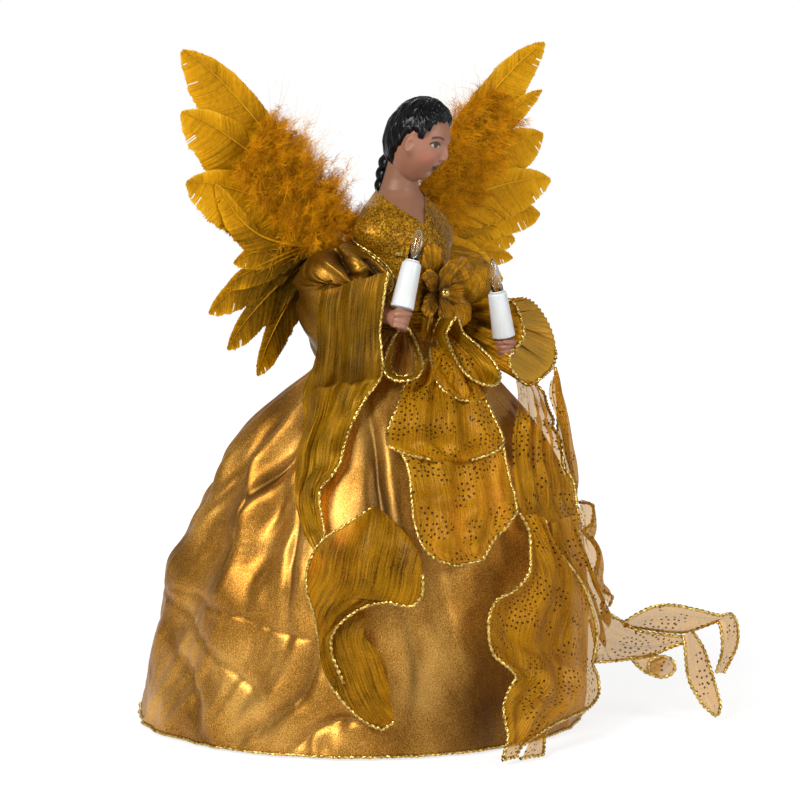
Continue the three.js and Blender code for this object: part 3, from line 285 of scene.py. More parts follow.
def cloth_places(grid):
    """Distance across and along a cloth at each point of its grid."""
    across = np.linalg.norm(np.diff(grid, axis=1), axis=2)
    along = np.linalg.norm(np.diff(grid, axis=0), axis=2)
    across = np.concatenate([np.zeros((len(grid), 1)), np.cumsum(across, 1)], 1)
    along = np.concatenate([np.zeros((1, grid.shape[1])), np.cumsum(along, 0)], 0)
    return np.stack([across - across[:, -1:] / 2, along.mean(1, keepdims=True) + 0 * across], -1)


def flat_size(grids, length, around):
    """Width and length in metres of the flat cloth that grids of this mean length are made of."""
    if around:
        grids = [np.concatenate([grid, grid[:, :1]], 1) for grid in grids]
    whole = sum(area(grid) for grid in grids) * MM * MM
    return round(whole / length, 3), round(length, 3)


def cloth_piece(
    name, grids, finish, nodes, edges=(), around=False, shade=None
):
    """A sheet of cloth from one or more grids, with gold cord along the edges given as paths."""
    parts = [surface(grid, around) for grid in grids]
    cloth = np.concatenate([cloth_places(grid).reshape(-1, 2) for grid in grids])
    thing = piece(name, parts, finish, nodes, cloth=cloth, shade=shade)
    trims = [gold_cord(name + "_cord", edges)] if edges else []
    length = np.mean([lengths(grid[:, grid.shape[1] // 2])[-1] for grid in grids]) * MM
    flat = flat_size(grids, length, around)
    return thing


def crinkled(grid, depth, pitch, seed):
    """Fine pleats that run along a cloth, pushed out of its surface."""
    across, along = np.moveaxis(cloth_places(grid), -1, 0)
    wander = 2.5 * ripple(across / PLEAT_WANDER[0], along / PLEAT_WANDER[1], seed)
    fade = 0.6 + 0.4 * ripple(across / PLEAT_FADE[0], along / PLEAT_FADE[1], seed + 1)
    pleats = depth * fade * np.sin(2 * np.pi * across / pitch + wander)
    return grid + normals(grid) * pleats[..., None]


# Finishes

def rgb(red, green, blue):
    """A colour written as the screen shows it, from 0 to 255, as the shader needs it."""
    value = np.array([red, green, blue]) / 255
    linear = np.where(value <= 0.04045, value / 12.92, ((value + 0.055) / 1.055) ** 2.4)
    return (*linear.tolist(), 1)


class Value:
    """A shader value, on which plain arithmetic adds maths nodes."""

    def __init__(self, nodes, socket):
        self.nodes = nodes
        self.socket = socket

    def __add__(self, other):
        return self.nodes.maths("ADD", self, other)

    def __sub__(self, other):
        return self.nodes.maths("SUBTRACT", self, other)

    def __mul__(self, other):
        return self.nodes.maths("MULTIPLY", self, other)

    def __truediv__(self, other):
        return self.nodes.maths("DIVIDE", self, other)


class Nodes:
    """A node tree, with short ways to add to it."""

    def __init__(self, tree):
        self.tree = tree

    def put(self, socket, value):
        if isinstance(value, Value):
            self.tree.links.new(value.socket, socket)
        else:
            socket.default_value = value

    def add(self, kind, output, inputs=(), **settings):
        """One output, or a tuple of them, of a new node."""
        node = self.tree.nodes.new(kind)
        for key, value in settings.items():
            setattr(node, key, value)
        for key, value in dict(inputs).items():
            self.put(node.inputs[key], value)
        if isinstance(output, tuple):
            return [Value(self, node.outputs[key]) for key in output]
        return Value(self, node.outputs[output])

    def maths(self, operation, first, second=0.0):
        return self.add("ShaderNodeMath", 0, {0: first, 1: second}, operation=operation)

    def length(self, vector):
        return self.add("ShaderNodeVectorMath", "Value", {0: vector}, operation="LENGTH")

    def show(self, output, shader):
        self.put(self.tree.nodes[output].inputs["Surface"], shader)


class Finish(Nodes):
    """A material on one Principled shader."""

    def __init__(self, name):
        material = bpy.data.materials.new(name)
        material.use_nodes = True
        super().__init__(material.node_tree)
        self.shader = self.tree.nodes["Principled BSDF"]
        FINISH[name] = material

    def object_place(self):
        return self.add("ShaderNodeTexCoord", "Object")

    def attribute(self, name, output):
        return self.add("ShaderNodeAttribute", output, attribute_name=name)

    def stretched(self, place, scale):
        return self.add("ShaderNodeMapping", "Vector", {"Vector": place, "Scale": scale})

    def noise(self, place, scale, detail):
        inputs = {"Vector": place, "Scale": scale, "Detail": detail, "Roughness": 0.5}
        return self.add("ShaderNodeTexNoise", "Fac", inputs)

    def ramp(self, share, stops):
        colour = self.add("ShaderNodeValToRGB", "Color", {"Fac": share})
        elements = colour.socket.node.color_ramp.elements
        while len(elements) < len(stops):
            elements.new(0.5)
        for element, (position, stop) in zip(elements, stops):
            element.position = position
            element.color = stop
        return colour

    def mix(self, share, first, second):
        return self.add("ShaderNodeMix", 2, {"Factor": share, 6: first, 7: second}, data_type="RGBA")

    def bump(self, height, distance, strength):
        inputs = {"Height": height, "Distance": distance, "Strength": strength}
        self.put(self.shader.inputs["Normal"], self.add("ShaderNodeBump", "Normal", inputs))

    def set(self, **values):
        for key, value in values.items():
            self.put(self.shader.inputs[key.replace("_", " ")], value)


SHADE_AND_DOT_COLOUR = rgb(44, 26, 4)  # painted shade of cloth in its creases and hollows, and the colour of the printed dots


def satin_finish(name, dark, middle, light):
    """Satin: a sandy grain over soft mottling, with painted shade in its creases and in patches, written on
    the mesh.
    """
    make = Finish(name)
    place = make.object_place()
    grain = make.noise(place, scale=1900, detail=1)
    tone = make.noise(place, scale=24, detail=3) * 0.5 + grain * 0.5
    make.bump(grain, distance=0.0003, strength=0.16)
    colour = make.ramp(tone, [(0.36, dark), (0.5, middle), (0.64, light)])
    # painted shade, from the mesh's shade attribute
    colour = make.mix(make.attribute("shade", "Fac"), colour, SHADE_AND_DOT_COLOUR)
    make.set(Base_Color=colour, Metallic=0.8, Roughness=0.43)


RING_SPACING = 16  # from one scattered ring's middle to the next, in mm
RING_PITCH = 3.2
DOT_PITCH = 2.7
DOT_RADIUS = 0.62
CRINKLE_PITCH = 0.9
THREAD_PITCH = 0.8


def ring_dots(make, cloth):
    """One where a glitter dot lies: dots stand in rings round scattered middles."""
    spread = make.stretched(cloth, (1 / RING_SPACING, 1 / RING_SPACING, 0))
    cell = {"Vector": spread, "Scale": 1.0, "Randomness": 0.9}
    middle = make.add("ShaderNodeTexVoronoi", "Position", cell, voronoi_dimensions="2D")
    away = make.add("ShaderNodeVectorMath", "Vector", {0: spread, 1: middle}, operation="SUBTRACT")
    x, y = make.add("ShaderNodeSeparateXYZ", (0, 1), {"Vector": away})
    ring = make.length(away) * RING_SPACING / RING_PITCH
    number = make.maths("MAXIMUM", make.maths("ROUND", ring), 1.0)
    out = (ring - number) * RING_PITCH
    turn = make.maths("ARCTAN2", y, x) / (2 * math.pi)
    dots = make.maths("ROUND", number * (2 * math.pi * RING_PITCH / DOT_PITCH))
    along = (make.maths("FRACT", turn * dots) - 0.5) * DOT_PITCH
    patches = make.noise(make.stretched(cloth, (0.06, 0.06, 0)), scale=1.0, detail=1)
    printed = make.maths("GREATER_THAN", patches, 0.5)
    return make.maths("LESS_THAN", out * out + along * along, DOT_RADIUS**2) * printed


def sheer_finish(
    name, dark, light, tint, alpha, pitch=CRINKLE_PITCH, dotted=False, metallic=0.15, roughness=0.46
):
    """Thin cloth: threads or crinkles along it, painted shade written on the mesh, a tint for what shows
    through, and printed dots.
    """
    make = Finish(name)
    cloth = make.attribute("cloth", "Vector")
    lines = make.noise(make.stretched(cloth, (1 / pitch, 0.04, 1)), scale=1.0, detail=3)
    cloudy = make.noise(make.stretched(cloth, (0.06, 0.05, 1)), scale=1.0, detail=2)
    weave = make.noise(make.object_place(), scale=1800, detail=1)
    tone = lines * 0.4 + cloudy * 0.35 + weave * 0.25
    colour = make.ramp(tone, [(0.38, dark), (0.62, light)])
    # painted shade, from the mesh's shade attribute
    colour = make.mix(make.attribute("shade", "Fac"), colour, SHADE_AND_DOT_COLOUR)
    cover = tone * 0.5 + (alpha - 0.25)
    if dotted:
        dot = ring_dots(make, cloth)
        colour = make.mix(dot, colour, SHADE_AND_DOT_COLOUR)
        cover = make.maths("MAXIMUM", cover, dot * 0.9)
    make.bump(lines, distance=0.0003, strength=0.5)
    make.set(Base_Color=colour, Metallic=metallic, Roughness=roughness, Specular_IOR_Level=0.12)
    if alpha < 1:
        clear = make.add("ShaderNodeBsdfTransparent", 0, {"Color": tint})
        solid = Value(make, make.shader.outputs[0])
        make.show("Material Output", make.add("ShaderNodeMixShader", 0, {0: cover, 1: clear, 2: solid}))


def glitter_finish():
    make = Finish("glitter")
    place = make.object_place()
    flecks = make.add("ShaderNodeTexVoronoi", "Color", {"Vector": place, "Scale": 1500.0})
    tone = make.add("ShaderNodeSeparateColor", 0, {"Color": flecks})
    tone = tone * 0.6 + make.noise(place, scale=90, detail=2) * 0.4
    make.bump(tone, distance=0.0003, strength=0.6)
    colour = make.ramp(tone, [
        (0.2, rgb(66, 46, 6)), (0.45, rgb(134, 92, 10)), (0.7, rgb(168, 116, 12)), (0.9, rgb(226, 176, 56)),
    ])
    make.set(Base_Color=colour, Metallic=0.45, Roughness=0.42, Specular_IOR_Level=0.15)


def gold_finish(name, roughness):
    make = Finish(name)
    place = make.object_place()
    tone = make.noise(place, scale=700, detail=2)
    colour = make.ramp(tone, [(0.35, rgb(136, 98, 24)), (0.65, rgb(236, 204, 112))])
    make.bump(make.noise(place, scale=2400, detail=1), distance=0.0001, strength=0.6)
    make.set(Base_Color=colour, Metallic=0.85, Roughness=roughness)


def plume_finish(name, stops, roughness):
    """Feather barbs: the shade written on the mesh picks the colour."""
    make = Finish(name)
    fleck = make.noise(make.object_place(), scale=500, detail=2)
    tone = make.attribute("shade", "Fac") + (fleck - 0.5) * 0.3
    make.set(Base_Color=make.ramp(tone, stops), Roughness=roughness, Specular_IOR_Level=0.1)


def plain_finish(
    name, dark, light, scale, roughness, metallic=0.0, bump=0.0001, strength=0.5, light_from=0.65, **more
):
    """A finish mottled between two colours, with a bump of the same noise."""
    make = Finish(name)
    tone = make.noise(make.object_place(), scale, detail=3)
    make.bump(tone, bump, strength)
    colour = make.ramp(tone, [(0.35, dark), (light_from, light)])
    make.set(Base_Color=colour, Roughness=roughness, Metallic=metallic, **more)


def skin_finish():
    make = Finish("skin")
    place = make.object_place()
    tone = make.noise(place, scale=260, detail=3)
    colour = make.mix(tone * 0.16, make.attribute("paint", "Color"), rgb(104, 66, 48))
    make.bump(make.noise(place, scale=1200, detail=2), distance=0.00006, strength=0.5)
    make.set(Base_Color=colour, Roughness=0.5)
    make.set(Subsurface_Weight=0.08, Subsurface_Radius=(0.004, 0.002, 0.001))


def glass_finish():
    make = Finish("bulb_glass")
    streak = make.noise(make.object_place(), scale=240, detail=2)
    colour = make.ramp(streak, [(0.3, rgb(244, 242, 236)), (0.7, rgb(255, 255, 255))])
    make.set(Base_Color=colour, Transmission_Weight=1.0, Roughness=0.03, IOR=1.45)


TINT = rgb(226, 166, 24)
satin_finish("satin", rgb(110, 70, 12), rgb(168, 114, 34), rgb(222, 170, 84))
# Satin of the sleeve puffs and arms: the skirt's satin painted darker for the shade it lies in, and a
# little more olive
satin_finish("satin_in_painted_shade", rgb(96, 64, 8), rgb(134, 92, 16), rgb(172, 126, 34))
sheer_finish("crinkle", rgb(84, 58, 0), rgb(182, 130, 6), TINT, alpha=0.78, metallic=0.3)
sheer_finish("frill", rgb(66, 44, 0), rgb(182, 128, 4), TINT, alpha=0.7)
sheer_finish("bell", rgb(112, 76, 0), rgb(220, 156, 10), rgb(236, 186, 84), alpha=0.74)
sheer_finish("sleeve_crinkle", rgb(84, 56, 2), rgb(190, 132, 8), TINT, alpha=1, metallic=0.3)
sheer_finish("petal", rgb(48, 31, 0), rgb(202, 136, 4), TINT, alpha=1, metallic=0.35, roughness=0.36)
sheer_finish("organza", rgb(146, 96, 4), rgb(212, 152, 18), rgb(236, 214, 184), 0.48, THREAD_PITCH, True)
glitter_finish()
gold_finish("gold_braid", 0.3)
gold_finish("gold_bead", 0.18)
PALE_STOPS = [(0.85, rgb(226, 172, 36)), (1.0, rgb(238, 214, 150))]
FEATHER_STOPS = [(0.0, rgb(52, 40, 0)), (0.3, rgb(138, 94, 0)), (0.6, rgb(206, 144, 0)), *PALE_STOPS]
DOWN_STOPS = [(0.0, rgb(62, 46, 0)), (0.3, rgb(162, 104, 0)), (0.6, rgb(222, 148, 0)), *PALE_STOPS]
plume_finish("feather", FEATHER_STOPS, 0.6)
plume_finish("down", DOWN_STOPS, 0.75)
skin_finish()
glass_finish()
plain_finish(
    "hair", rgb(3, 3, 4), rgb(12, 12, 15), 420, 0.34, bump=0.0003, strength=0.4, light_from=0.7,
    Specular_IOR_Level=0.22,
)
plain_finish(
    "candle", rgb(206, 205, 204), rgb(218, 218, 218), 60, 0.36, bump=0.0002, Subsurface_Weight=0.1
)
plain_finish("bulb_base", rgb(206, 204, 196), rgb(232, 230, 222), 300, 0.35)
plain_finish("filament", rgb(120, 118, 114), rgb(170, 168, 160), 2000, 0.35, 0.9)
plain_finish("wire", rgb(96, 96, 92), rgb(140, 139, 134), 900, 0.4, 0.9)
plain_finish("lead", rgb(226, 224, 216), rgb(240, 238, 230), 700, 0.5)
plain_finish("card", rgb(120, 90, 34), rgb(156, 122, 52), 300, 0.85, bump=0.0004)
plain_finish("moulding", rgb(212, 208, 198), rgb(228, 225, 216), 400, 0.5)
plain_finish("body", rgb(204, 198, 184), rgb(222, 217, 204), 120, 0.85, bump=0.0005)
plain_finish("padding", rgb(214, 202, 178), rgb(238, 230, 214), 500, 0.9, bump=0.0008)


# Skirt

def skirt_drop(z):
    return np.clip(1 - z / WAIST, 0, 1)


def fold_depth(z):
    return FOLD_DEPTH * (WAIST_FOLD_SHARE + (1 - WAIST_FOLD_SHARE) * np.sin(np.pi * skirt_drop(z)))


def skirt_mean(angle, z):
    """Mean radius of the bell at an angle from the front."""
    drop = skirt_drop(z)
    bell = 0.95 * (1 - (1 - drop) ** 3) + 0.05 * drop**4
    radius = SKIRT_TOP_RADIUS + (HEM_RADIUS - SKIRT_TOP_RADIUS) * bell
    back = TRAIN * drop
    return np.sqrt(radius**2 - (back * np.sin(angle)) ** 2) - back * np.cos(angle)


def polar(angle, radius, z):
    return grid_of(radius * np.sin(angle), -radius * np.cos(angle), z)


def over_skirt(places):
    """Points over the skirt's crests from [degrees from the front, height, lift]."""
    degrees, z, lift = np.moveaxis(np.asarray(places, float), -1, 0)
    angle = np.radians(degrees)
    return polar(angle, skirt_mean(angle, z) + fold_depth(z) + CLOTH + lift, z)


def beside(places):
    """Points at the figure's left front from [reach, height, distance back across the reach]."""
    reach, z, back = np.moveaxis(np.asarray(places, float), -1, 0)
    return grid_of(reach / math.sqrt(2) + back / 2, back / 2 - reach / math.sqrt(2), z)


# [places as (degrees, height), depth, half width, height of the fold beside it, its half width]
CREASES = [
    (
        [
            (-128, 196), (-112, 180), (-106, 165), (-107, 150), (-108, 138), (-104, 122), (-103, 106),
            (-103, 92),
        ],
        8, 3.2, 5.5, 7,
    ),
    ([(-96, 176), (-93, 162), (-91, 146), (-97, 131), (-100, 124)], 4.5, 3, 2.5, 5),
    ([(-82, 132), (-80.5, 118), (-80, 97), (-79, 64)], 2.4, 2.8, 0.8, 9),
    ([(-140, 160), (-130, 128), (-126, 100)], 4, 5, 3, 7),
    ([(-122, 74), (-114, 72.5), (-104, 71), (-90, 66), (-80, 61), (-66, 58)], 1.1, 1.4, 0.6, 6),
    ([(-128, 72), (-112, 58), (-103, 49), (-87, 31)], 1.4, 2, 0.7, 7),
    ([(-95, 4), (-88, 12), (-83, 18), (-74, 34), (-70, 56)], 3, 3, 2.6, 6),
    ([(-118, 44), (-108, 26), (-104, 8)], 2.2, 3, 1.8, 6),
    ([(-78, 4), (-70, 16), (-62, 20), (-54, 18)], 2, 2.6, 1.6, 5),
    ([(-64, 168), (-58, 150), (-55, 130), (-52, 112)], 3, 4, 2, 6),
    ([(-46, 70), (-42, 46), (-44, 22)], 2.2, 5, 1.6, 8),
]
# Soft hollows and swellings: degrees, height, half width, rise
SWELLS = [
    (-113, 96, 9, -3.4), (-103, 34, 9, -3.4), (-88, 115, 8, -3), (-91, 95, 8, -2.2), (-123, 58, 8, -2.4),
    (-66, 20, 7, -2.4), (-74, 10, 6, -1.8), (-46, 50, 10, -2.6), (-120, 130, 9, -3),
    (-102, 81, 9, 3), (-114, 170, 8, 2), (-102, 144, 7, 3), (-90, 81, 8, 2), (-127, 87, 8, 2.4),
    (-94, 26, 8, 2.2), (-82, 29, 7, 2.2), (-66, 35, 8, 2), (-78, 84, 10, 1.6), (-92, 66, 8, 1.8),
    (-28, 54, 14, 2), (-120, 18, 7, 2), (-108, 12, 6, 1.6), (-140, 120, 10, 2.5),
]
# Patches of painted shade on the satin, which damp its highlight and darken its front: degrees, height,
# half width, half height, share
PAINTED_SHADE_PATCHES = [(-53, 112, 17, 32, 0.72), (-18, 18, 28, 48, 0.6)]
CREASE_RADIUS = 92  # mm to a radian where the creases are measured
CREASE_STEPS = 60
COVERED = (-62, 48)  # degrees where drapes lie on the skirt
SKIRT_FRONT = (-20, 110)  # middle and half width, in degrees, of the side with few folds
HANGING_FOLDS = 14
GATHERS = 46
SIDE_BULGE = (-140, 24, 166, 22, 5)  # degrees, half width, height, half height, rise
# The most shade painted on the skirt
DARKEST_PAINTED_SHADE = 0.85
SKIRT_ROWS = 150
SKIRT_COLUMNS = 600
HEM_STEPS = 900


def crease(degrees, z, places, depth, wide, fold, fold_wide):
    """A valley along a line on the skirt with a fold standing beside it, and the shade painted along it."""
    line = curve(places, CREASE_STEPS)
    line_x, line_z = np.radians(line[:, 0]) * CREASE_RADIUS, line[:, 1]
    heading = unit(np.gradient(np.column_stack([line_x, line_z]), axis=0))
    x = np.radians(degrees) * CREASE_RADIUS
    nearest = np.argmin((x[..., None] - line_x) ** 2 + (z[..., None] - line_z) ** 2, -1)
    dx, dz = x - line_x[nearest], z - line_z[nearest]
    sidewise = heading[nearest, 0] * dz - heading[nearest, 1] * dx
    taper = np.sin(np.pi * np.clip((nearest + 4) / (CREASE_STEPS + 7), 0, 1)) ** 0.5
    beyond = hump(np.sqrt(np.maximum(dx**2 + dz**2 - sidewise**2, 0)), 3 * wide)
    stands = fold * hump(sidewise - wide - 0.8 * fold_wide, fold_wide)
    # painted shade along the valley, more for a deeper crease
    dark = min(depth / 6, 1) * hump(sidewise, 0.8 * wide)
    return taper * beyond * np.stack([stands - depth * hump(sidewise, wide), dark])


def skirt_form(angle, z):
    """How far the skirt stands out from its mean: gathers, hanging folds, creases and a crumpled hem."""
    degrees = np.degrees(angle)
    x, y = np.sin(angle), np.cos(angle)

    def lumps(often, seed, over_x=np.inf, over_y=np.inf):
        """Noise round the skirt that slants by one bump over these heights."""
        return ripple(often * x + z / over_x, often * y + z / over_y, seed)

    front = np.clip(1 - np.abs(degrees - SKIRT_FRONT[0]) / SKIRT_FRONT[1], 0, 1)
    folds = np.cos(HANGING_FOLDS * angle + 1.6 * lumps(2.2, 1, over_y=300))
    folds = folds * (1.15 - 1.05 * smooth(front * 1.6)) + 0.75 * lumps(3.5, 2, 260, -300)
    form = fold_depth(z) * folds
    near_waist = hump(z - WAIST, 22)
    form = form + near_waist * 0.9 * np.sin(GATHERS * angle + 3 * lumps(4, 3))
    at, wide, height, tall, rise = SIDE_BULGE
    form = form + rise * hump(degrees - at, wide) * hump(z - height, tall)
    near_hem = np.exp(-z / 40) * (0.4 + 0.6 * (1 - front))
    form = form + 1.6 * near_hem * (1 - 2 * np.abs(lumps(11, 4, 20, -26))) + 0.5 * lumps(16, 5, 30, 34)
    form = form + 1.1 * (1 - 0.6 * front) * lumps(7, 6, 26, -40)
    rumple = lumps(20, 8, 22, -13) + 0.6 * lumps(30, 9, -16, -10)
    form = form + 0.9 * (1 - 0.5 * near_waist) * np.clip(1.1 - 1.7 * front, 0, 1) * rumple
    for row in CREASES:
        form = form + crease(degrees, z, *row)[0]
    for at, height, wide, rise in SWELLS:
        away = np.hypot(np.radians(degrees - at) * CREASE_RADIUS, z - height)
        form = form + rise * hump(away, 1.2 * wide)
    under = smooth((degrees - COVERED[0]) / 8) * smooth((COVERED[1] - degrees) / 8)
    lowered = np.minimum(form, fold_depth(z) * (2 - under) + 8 * (1 - under))
    return np.where(under > 0.02, lowered, form)


def on_skirt(angle, z, lift=0):
    return polar(angle, skirt_mean(angle, z) + skirt_form(angle, z) + lift, z)


def skirt():
    angle = -np.pi + turns(SKIRT_COLUMNS)[None, :]
    angle, z = np.broadcast_arrays(angle, rows(SKIRT_ROWS, HEM_LIFT, WAIST))
    grid = on_skirt(angle, z)
    braid_angle = np.linspace(-np.pi, np.pi, HEM_STEPS)
    braid_z = np.full(HEM_STEPS, HEM_LIFT + CORD_RADIUS)
    braid_path = on_skirt(braid_angle, braid_z, 0.6 * CORD_RADIUS)
    braid = gold_cord("hem_braid", [braid_path], ["skirt_hem_braid"], 0.9 * CORD_RADIUS)
    degrees = np.degrees(angle)
    # Painted shade: in the creases, and in patches that damp the satin's highlight and darken its front
    dark = sum(crease(degrees, z, *row)[1] for row in CREASES)
    for at, height, wide, tall, share in PAINTED_SHADE_PATCHES:
        dark = dark + share * hump(degrees - at, wide) * hump(z - height, tall)
    dark = np.clip(dark, 0, DARKEST_PAINTED_SHADE)
    thing = piece("skirt_cloth", [surface(grid, True)], "satin", ["skirt"], shade=dark)
    flat = flat_size([grid], lengths(grid[:, 0])[-1] * MM, True)


skirt()

# Drapes: cloth between two edges
PLEAT_DEPTH = 0.2
PLEAT_PITCH = 1.7
# Rows of a strip where the cord along its second edge begins
FLOUNCE_CORD_ROW = 42
PETAL_CORD_ROW = 36
BAND_CORD_ROW = 60


def strip(first, second, size, lift, seed):
    """Grid of (rows, columns) between two edges; lift(across, along) pushes it out of its surface."""
    first, second = curve(first, size[0]), curve(second, size[0])
    along, across = rows(size[0]), columns(size[1])
    grid = first[:, None] * (1 - across[..., None]) + second[:, None] * across[..., None]
    outward = normals(grid)
    facing = np.sign((outward[..., :2] * grid[..., :2]).sum())
    push = lift(across, along) + 0.5 * ripple(5 * across + seed, 7 * along, seed)
    return grid + outward * facing * push[..., None]


def billow(height, waves, depth, phase=0.0):
    """A cloth's rise between its edges, with folds that run along it."""

    def lift(across, along):
        arch = np.sin(np.pi * across) ** 0.7
        folds = np.sin(2 * np.pi * waves * across + phase + 2.2 * np.sin(3.1 * along + phase))
        return arch * (height + depth * folds) * np.sin(np.pi * np.clip(0.06 + along, 0, 1)) ** 0.3

    return lift


def pleated(first, second, size, lift, seed, depth=PLEAT_DEPTH):
    return crinkled(strip(first, second, size, lift, seed), depth, PLEAT_PITCH, seed)


def ruffled(path, depth, count, phase=0.0):
    """An edge that waves in and out from the skirt's axis."""
    path = curve(path, 160)
    along = np.linspace(0, 1, len(path))
    outward = unit(path * [1, 1, 0])
    wave = np.sin(2 * np.pi * count * along + phase + 1.5 * ripple(6 * along, 0.5, 3))
    return path + outward * (depth * wave * np.sin(np.pi * along) ** 0.5)[:, None]


def right_sleeve():
    """Crinkled curtain below the right elbow, and the flounce that it ends in."""
    fold = over_skirt([
        (-86, 226, 44), (-87, 211, 46), (-86, 199, 40), (-88, 186, 26), (-92, 176, 16), (-87, 161, 7),
        (-85, 146, 4), (-82, 134, 3.5), (-79, 123, 3.5), (-75, 111, 3.5), (-71, 103, 4),
    ])
    hem = over_skirt([
        (-54, 236, 34), (-56, 223, 38), (-58, 208, 36), (-57, 199, 30), (-56, 190, 22), (-58, 183, 14),
        (-63, 174, 9), (-67, 162, 7), (-67, 147, 6), (-69, 139, 6), (-71, 132, 7), (-70, 122, 7),
        (-67, 106, 7),
    ])
    back_hem = over_skirt([
        (-62, 234, 22), (-66, 216, 20), (-68, 200, 15), (-70, 186, 9), (-72, 172, 5), (-73, 158, 3.5),
        (-74, 142, 3), (-74, 126, 3), (-70, 106, 4),
    ])
    front_size = (150, 84)
    front = pleated(ruffled(hem, 1.4, 5), fold, front_size, billow(5, 2.5, 2.6), 1)
    behind = pleated(back_hem, fold, (100, 50), billow(-3, 2, 2), 2)
    along, across = rows(front_size[0]), columns(front_size[1])
    # Painted shade: the curtain darker over its upper part and in a patch there, and its strip behind
    # darker all over
    dim = 0.42 - 0.4 * smooth((along - 0.32) / 0.14)
    dim = dim + 0.25 * hump(along - 0.3, 0.06) * hump(across - 0.4, 0.2)
    dim_behind = np.full(behind.size // 3, 0.3)
    cloth_piece(
        "right_sleeve_curtain", [front, behind], "crinkle", ["right_sleeve_drape"],
        [front[:, 0], front[-1]], shade=np.r_[dim.ravel(), dim_behind],
    )
    flounce_edge = over_skirt([
        (-54, 125, 9), (-61, 117, 10.5), (-68, 108, 10), (-71, 95, 8), (-71, 84, 6.5), (-69, 73, 5.5),
        (-68, 62, 5), (-67, 51, 5), (-65, 40, 5), (-61, 30, 6),
    ])
    lobe = over_skirt([
        (-53, 125, 10), (-47, 117, 13), (-42, 106, 18), (-41, 95, 19), (-41, 85, 18), (-44, 79, 15),
        (-51, 81, 12), (-58, 76, 10), (-63, 67, 9), (-64, 56, 8), (-61, 40, 7),
    ])
    tail_edge = over_skirt([
        (-62, 74, 3.5), (-66, 60, 3.5), (-66, 48, 4), (-63, 34, 5), (-56, 22, 8), (-51, 18, 10),
    ])
    tail_side = over_skirt([
        (-55, 72, 4.5), (-56, 64, 5.5), (-52, 56, 7), (-50, 49, 9), (-49, 36, 11), (-48, 22, 11),
    ])
    flounce = pleated(flounce_edge, lobe, (130, 84), billow(4, 1.5, 2.4, 1.0), 3, 1.1 * PLEAT_DEPTH)
    tail = pleated(tail_edge, tail_side, (90, 44), billow(2, 1, 1.2), 4)
    cloth_piece(
        "right_sleeve_frill", [flounce, tail], "frill", ["right_sleeve_flounce"],
        [flounce[:, 0], flounce[FLOUNCE_CORD_ROW:, -1], tail[:, 0], tail[-1]],
    )


def front_drapes():
    """Printed organza over the front of the skirt, in overlapping petals."""
    left = over_skirt([
        (-10, 199, 3), (-26, 193, 5), (-38, 186, 5), (-46, 179, 5), (-49, 169, 5), (-52, 160, 5),
        (-51, 153, 6), (-45, 149, 6.5), (-36, 146, 6.5),
    ])
    right = over_skirt([
        (4, 199, 3), (2, 190, 6), (-1, 181, 8), (-4, 172, 8.5), (-5, 164, 9), (-5, 158, 9), (-6, 152, 9),
        (-12, 148, 8.5), (-22, 145, 8),
    ])
    upper_edge = over_skirt([(-24, 197, 6), (-28, 189, 8), (-28, 183, 9), (-25, 177, 9.5), (-19, 173, 10)])
    upper_side = over_skirt([(12, 197, 5), (9, 189, 8), (4, 181, 9.5), (-3, 175, 10), (-9, 172, 10)])
    petal = strip(ruffled(left, 1.2, 4), right, (110, 80), billow(4, 3.5, 2.4), 5)
    upper = strip(upper_edge, upper_side, (60, 60), billow(3.5, 3, 2.2, 2.0), 6)
    cloth_piece(
        "front_petal", [petal, upper], "organza", ["front_drape"],
        [petal[:, 0], petal[PETAL_CORD_ROW:, -1], upper[:, 0], upper[-1]],
    )
    tail_left = over_skirt([
        (-47, 151, 5), (-44, 142, 4.5), (-43, 130, 4), (-42.5, 118, 4), (-40, 106, 4), (-36, 99.5, 4.5),
        (-30, 96, 5),
    ])
    tail_right = over_skirt([
        (-6, 152, 8), (-7, 141, 8), (-8, 130, 8), (-8, 120, 8.5), (-12, 115, 8), (-17, 108, 7),
        (-22, 98, 6),
    ])
    tail_right = ruffled(tail_right, 1, 3, 1.0)
    tail = strip(ruffled(tail_left, 0.8, 3), tail_right, (100, 90), billow(2.5, 3, 2), 7)
    cloth_piece(
        "front_petal_tail", [tail], "organza", ["front_drape_tail"],
        [tail[:, 0], tail[:, -1], tail[-1]],
    )


def side_drape():
    """Organza from the front to the hem, whose corner lies out on the resting plane."""
    left = over_skirt([
        (-8, 119, 9.5), (-6, 109, 10.5), (-7, 98, 11), (-9, 90, 11), (-14, 83, 11), (-19, 79, 11),
        (-22, 72, 11), (-22, 64, 11), (-20, 52, 11), (-15, 44, 11), (-13, 39, 11), (-16, 32, 13),
        (-18, 26, 15), (-18, 19, 18), (-18, 12, 22), (-21, 3, 28),
    ])
    right = over_skirt([
        (3, 114, 8), (4, 104, 7.5), (8, 96, 7.5), (15, 85, 7.5), (20, 75, 8), (24, 62, 9), (26, 52, 10),
        (25, 42, 10), (25, 36, 10), (29, 28, 11), (27, 20, 13), (19, 16, 14), (8, 15, 15), (-2, 13, 17),
        (-13, 7, 21), (-16, 3, 25),
    ])
    tip_first = over_skirt([(0, 14, 13), (-4, 9, 18), (-6, 4, 22), (-8, 2.2, 26)])
    tip_second = over_skirt([(-8, 11, 17), (-12, 6, 22), (-14, 3.4, 25), (-16, 2.4, 28)])
    grid = strip(ruffled(left, 1, 5), right, (170, 90), billow(4, 2.5, 3.2, 0.6), 8)
    tip = strip(tip_first, tip_second, (40, 24), billow(2, 1, 1), 9)
    cloth_piece(
        "side_organza", [grid, tip], "organza", ["side_drape"],
        [grid[:, 0], grid[:, -1], grid[-1], tip[:, 0], tip[-1]],
    )


